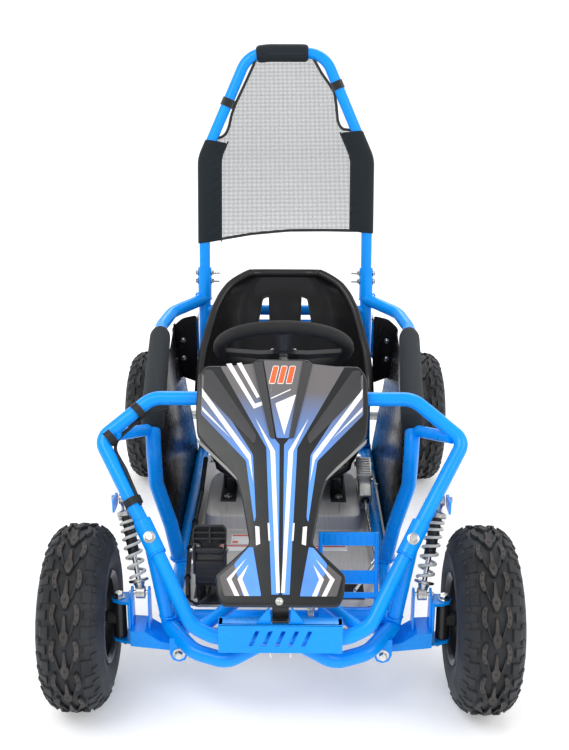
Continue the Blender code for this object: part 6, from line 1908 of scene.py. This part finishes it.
def build_motor():
    y, z = centre_of("motor_pinion").y, centre_of("motor_pinion").z
    start = -0.100
    bm = bmesh.new()
    profile = [(0, 0.030), (0.003, 0.041), (0.006, 0.046), (0.012, 0.0485)]
    for i in range(11):
        d = 0.016 + i * 0.0074
        profile += [(d, 0.0485), (d + 0.0006, 0.0500), (d + 0.0040, 0.0500), (d + 0.0046, 0.0470)]
    profile += [(0.104, 0.0485), (0.108, 0.0470), (0.111, 0.0440), (0.116, 0.0250), (0.1255, 0.0205)]
    add_lathe(bm, (start, y, z), X_AXIS, profile, 56)
    add_box(bm, (-0.092, y - 0.040, 0.1703), (0.010, y + 0.040, 0.1790), 0.0020)
    for way in (-1, 1):
        add_box(bm, (-0.086, y + way * 0.026 - 0.004, 0.176), (0.004, y + way * 0.026 + 0.004, z - 0.036),
                0.0015)
    piece("motor_case", bm, BLACK_METAL, replaces=("motor",), sharp=30)
    bm = bmesh.new()
    add_rod(bm, (0.020, y, z), (0.058, y, z), 0.0050, 24)
    for i in range(4):
        a = math.pi / 4 + i * math.pi / 2
        add_bolt(bm, (0.0105, y + 0.036 * math.cos(a), z + 0.036 * math.sin(a)), X_AXIS, 0.0038,
                 washer=False)
    for x in (-0.080, -0.002):
        for way in (-1, 1):
            add_bolt(bm, (x, y + way * 0.0345, 0.1790), Z_AXIS, 0.0044)
    piece("motor_bolts", bm, STEEL)


# ---- studio -------------------------------------------------------------------------------
PAPER_GLOW = 0.26
ROOM_LIGHT, BACKDROP_EXTRA = 0.80, 0.35


def build_stage():
    bm = bmesh.new()
    reach = 30.0
    rows = [(-8.0, 0.0), (4.2, 0.0), (5.4, 0.12), (6.2, 0.9), (6.5, 2.2), (6.6, 9.0)]
    fine = []
    for (y0, z0), (y1, z1) in zip(rows, rows[1:]):
        for i in range(6):
            t = i / 6
            fine.append((y0 + (y1 - y0) * t, z0 + (z1 - z0) * t))
    fine.append(rows[-1])
    loops = [[bm.verts.new((x, y, z)) for x in (-reach, reach)] for y, z in fine]
    for a, b in zip(loops, loops[1:]):
        bm.faces.new((a[0], a[1], b[1], b[0]))
    mesh = bpy.data.meshes.new("backdrop")
    bm.to_mesh(mesh)
    bm.free()
    mesh.shade_smooth()
    floor = bpy.data.objects.new("backdrop", mesh)
    bpy.context.collection.objects.link(floor)
    made, tree, shader = new_material("studio_paper")
    tree.links.new(ramp(tree, noise(tree, 2.0), (0.88, 0.88, 0.88), (0.90, 0.90, 0.90)),
                   shader.inputs["Base Color"])
    shader.inputs["Roughness"].default_value = 0.9
    shader.inputs["Emission Color"].default_value = (1, 1, 1, 1)
    shader.inputs["Emission Strength"].default_value = PAPER_GLOW
    mesh.materials.append(made)
    world = bpy.context.scene.world or bpy.data.worlds.new("studio")
    bpy.context.scene.world = world
    world.use_nodes = True
    nodes, links = world.node_tree.nodes, world.node_tree.links
    sky = nodes["Background"]
    sky.inputs["Color"].default_value = (1, 1, 1, 1)
    rays, level = nodes.new("ShaderNodeLightPath"), nodes.new("ShaderNodeMath")
    level.operation = "MULTIPLY_ADD"
    level.inputs[1].default_value, level.inputs[2].default_value = BACKDROP_EXTRA, ROOM_LIGHT
    links.new(rays.outputs["Is Camera Ray"], level.inputs[0])
    links.new(level.outputs[0], sky.inputs["Strength"])

    def area(name, place, aim, size, power):
        data = bpy.data.lights.new(name, "AREA")
        data.shape, data.size, data.size_y, data.energy = "RECTANGLE", size[0], size[1], power
        light = bpy.data.objects.new(name, data)
        light.location = place
        light.rotation_euler = (Vector(aim) - Vector(place)).to_track_quat("-Z", "Y").to_euler()
        bpy.context.collection.objects.link(light)

    area("key", (-1.6, -2.2, 3.4), (0, 0, 0.4), (2.2, 1.6), 60)
    area("fill", (2.6, -1.8, 2.2), (0, 0, 0.4), (1.8, 1.8), 32)
    area("back", (0.4, 2.6, 3.0), (0, 0, 0.5), (2.6, 1.2), 45)


def build_camera():
    camera_data = bpy.data.cameras.new("view")
    camera_data.lens, camera_data.sensor_width = 54.67, 36.0
    camera = bpy.data.objects.new("view", camera_data)
    pitch, yaw, roll = math.radians(19.098), math.radians(-0.430), math.radians(-0.152)
    forward = Vector((math.sin(yaw) * math.cos(pitch), math.cos(yaw) * math.cos(pitch), -math.sin(pitch)))
    right = Vector((math.cos(yaw), -math.sin(yaw), 0))
    down = forward.cross(right)
    turned = right * math.cos(roll) + down * math.sin(roll)
    lower = down * math.cos(roll) - right * math.sin(roll)
    place = Matrix((turned, -lower, -forward)).transposed().to_4x4()
    place.translation = Vector((0.0181, -2.2732, 1.2351))
    camera.matrix_world = place
    bpy.context.collection.objects.link(camera)
    bpy.context.scene.camera = camera


build_frame()
build_bumper()
build_front_hoop()
build_roll_hoop()
build_pads()
build_net()
build_wheels()
for side_sign, side_word in SIDES:
    build_suspension(side_sign, side_word)
build_steering()
build_nose()
build_seat()
build_floor()
build_brake()
build_throttle()
build_guards()
build_battery()
build_drive()
build_stage()
build_camera()
bpy.context.scene.view_settings.view_transform = "Standard"
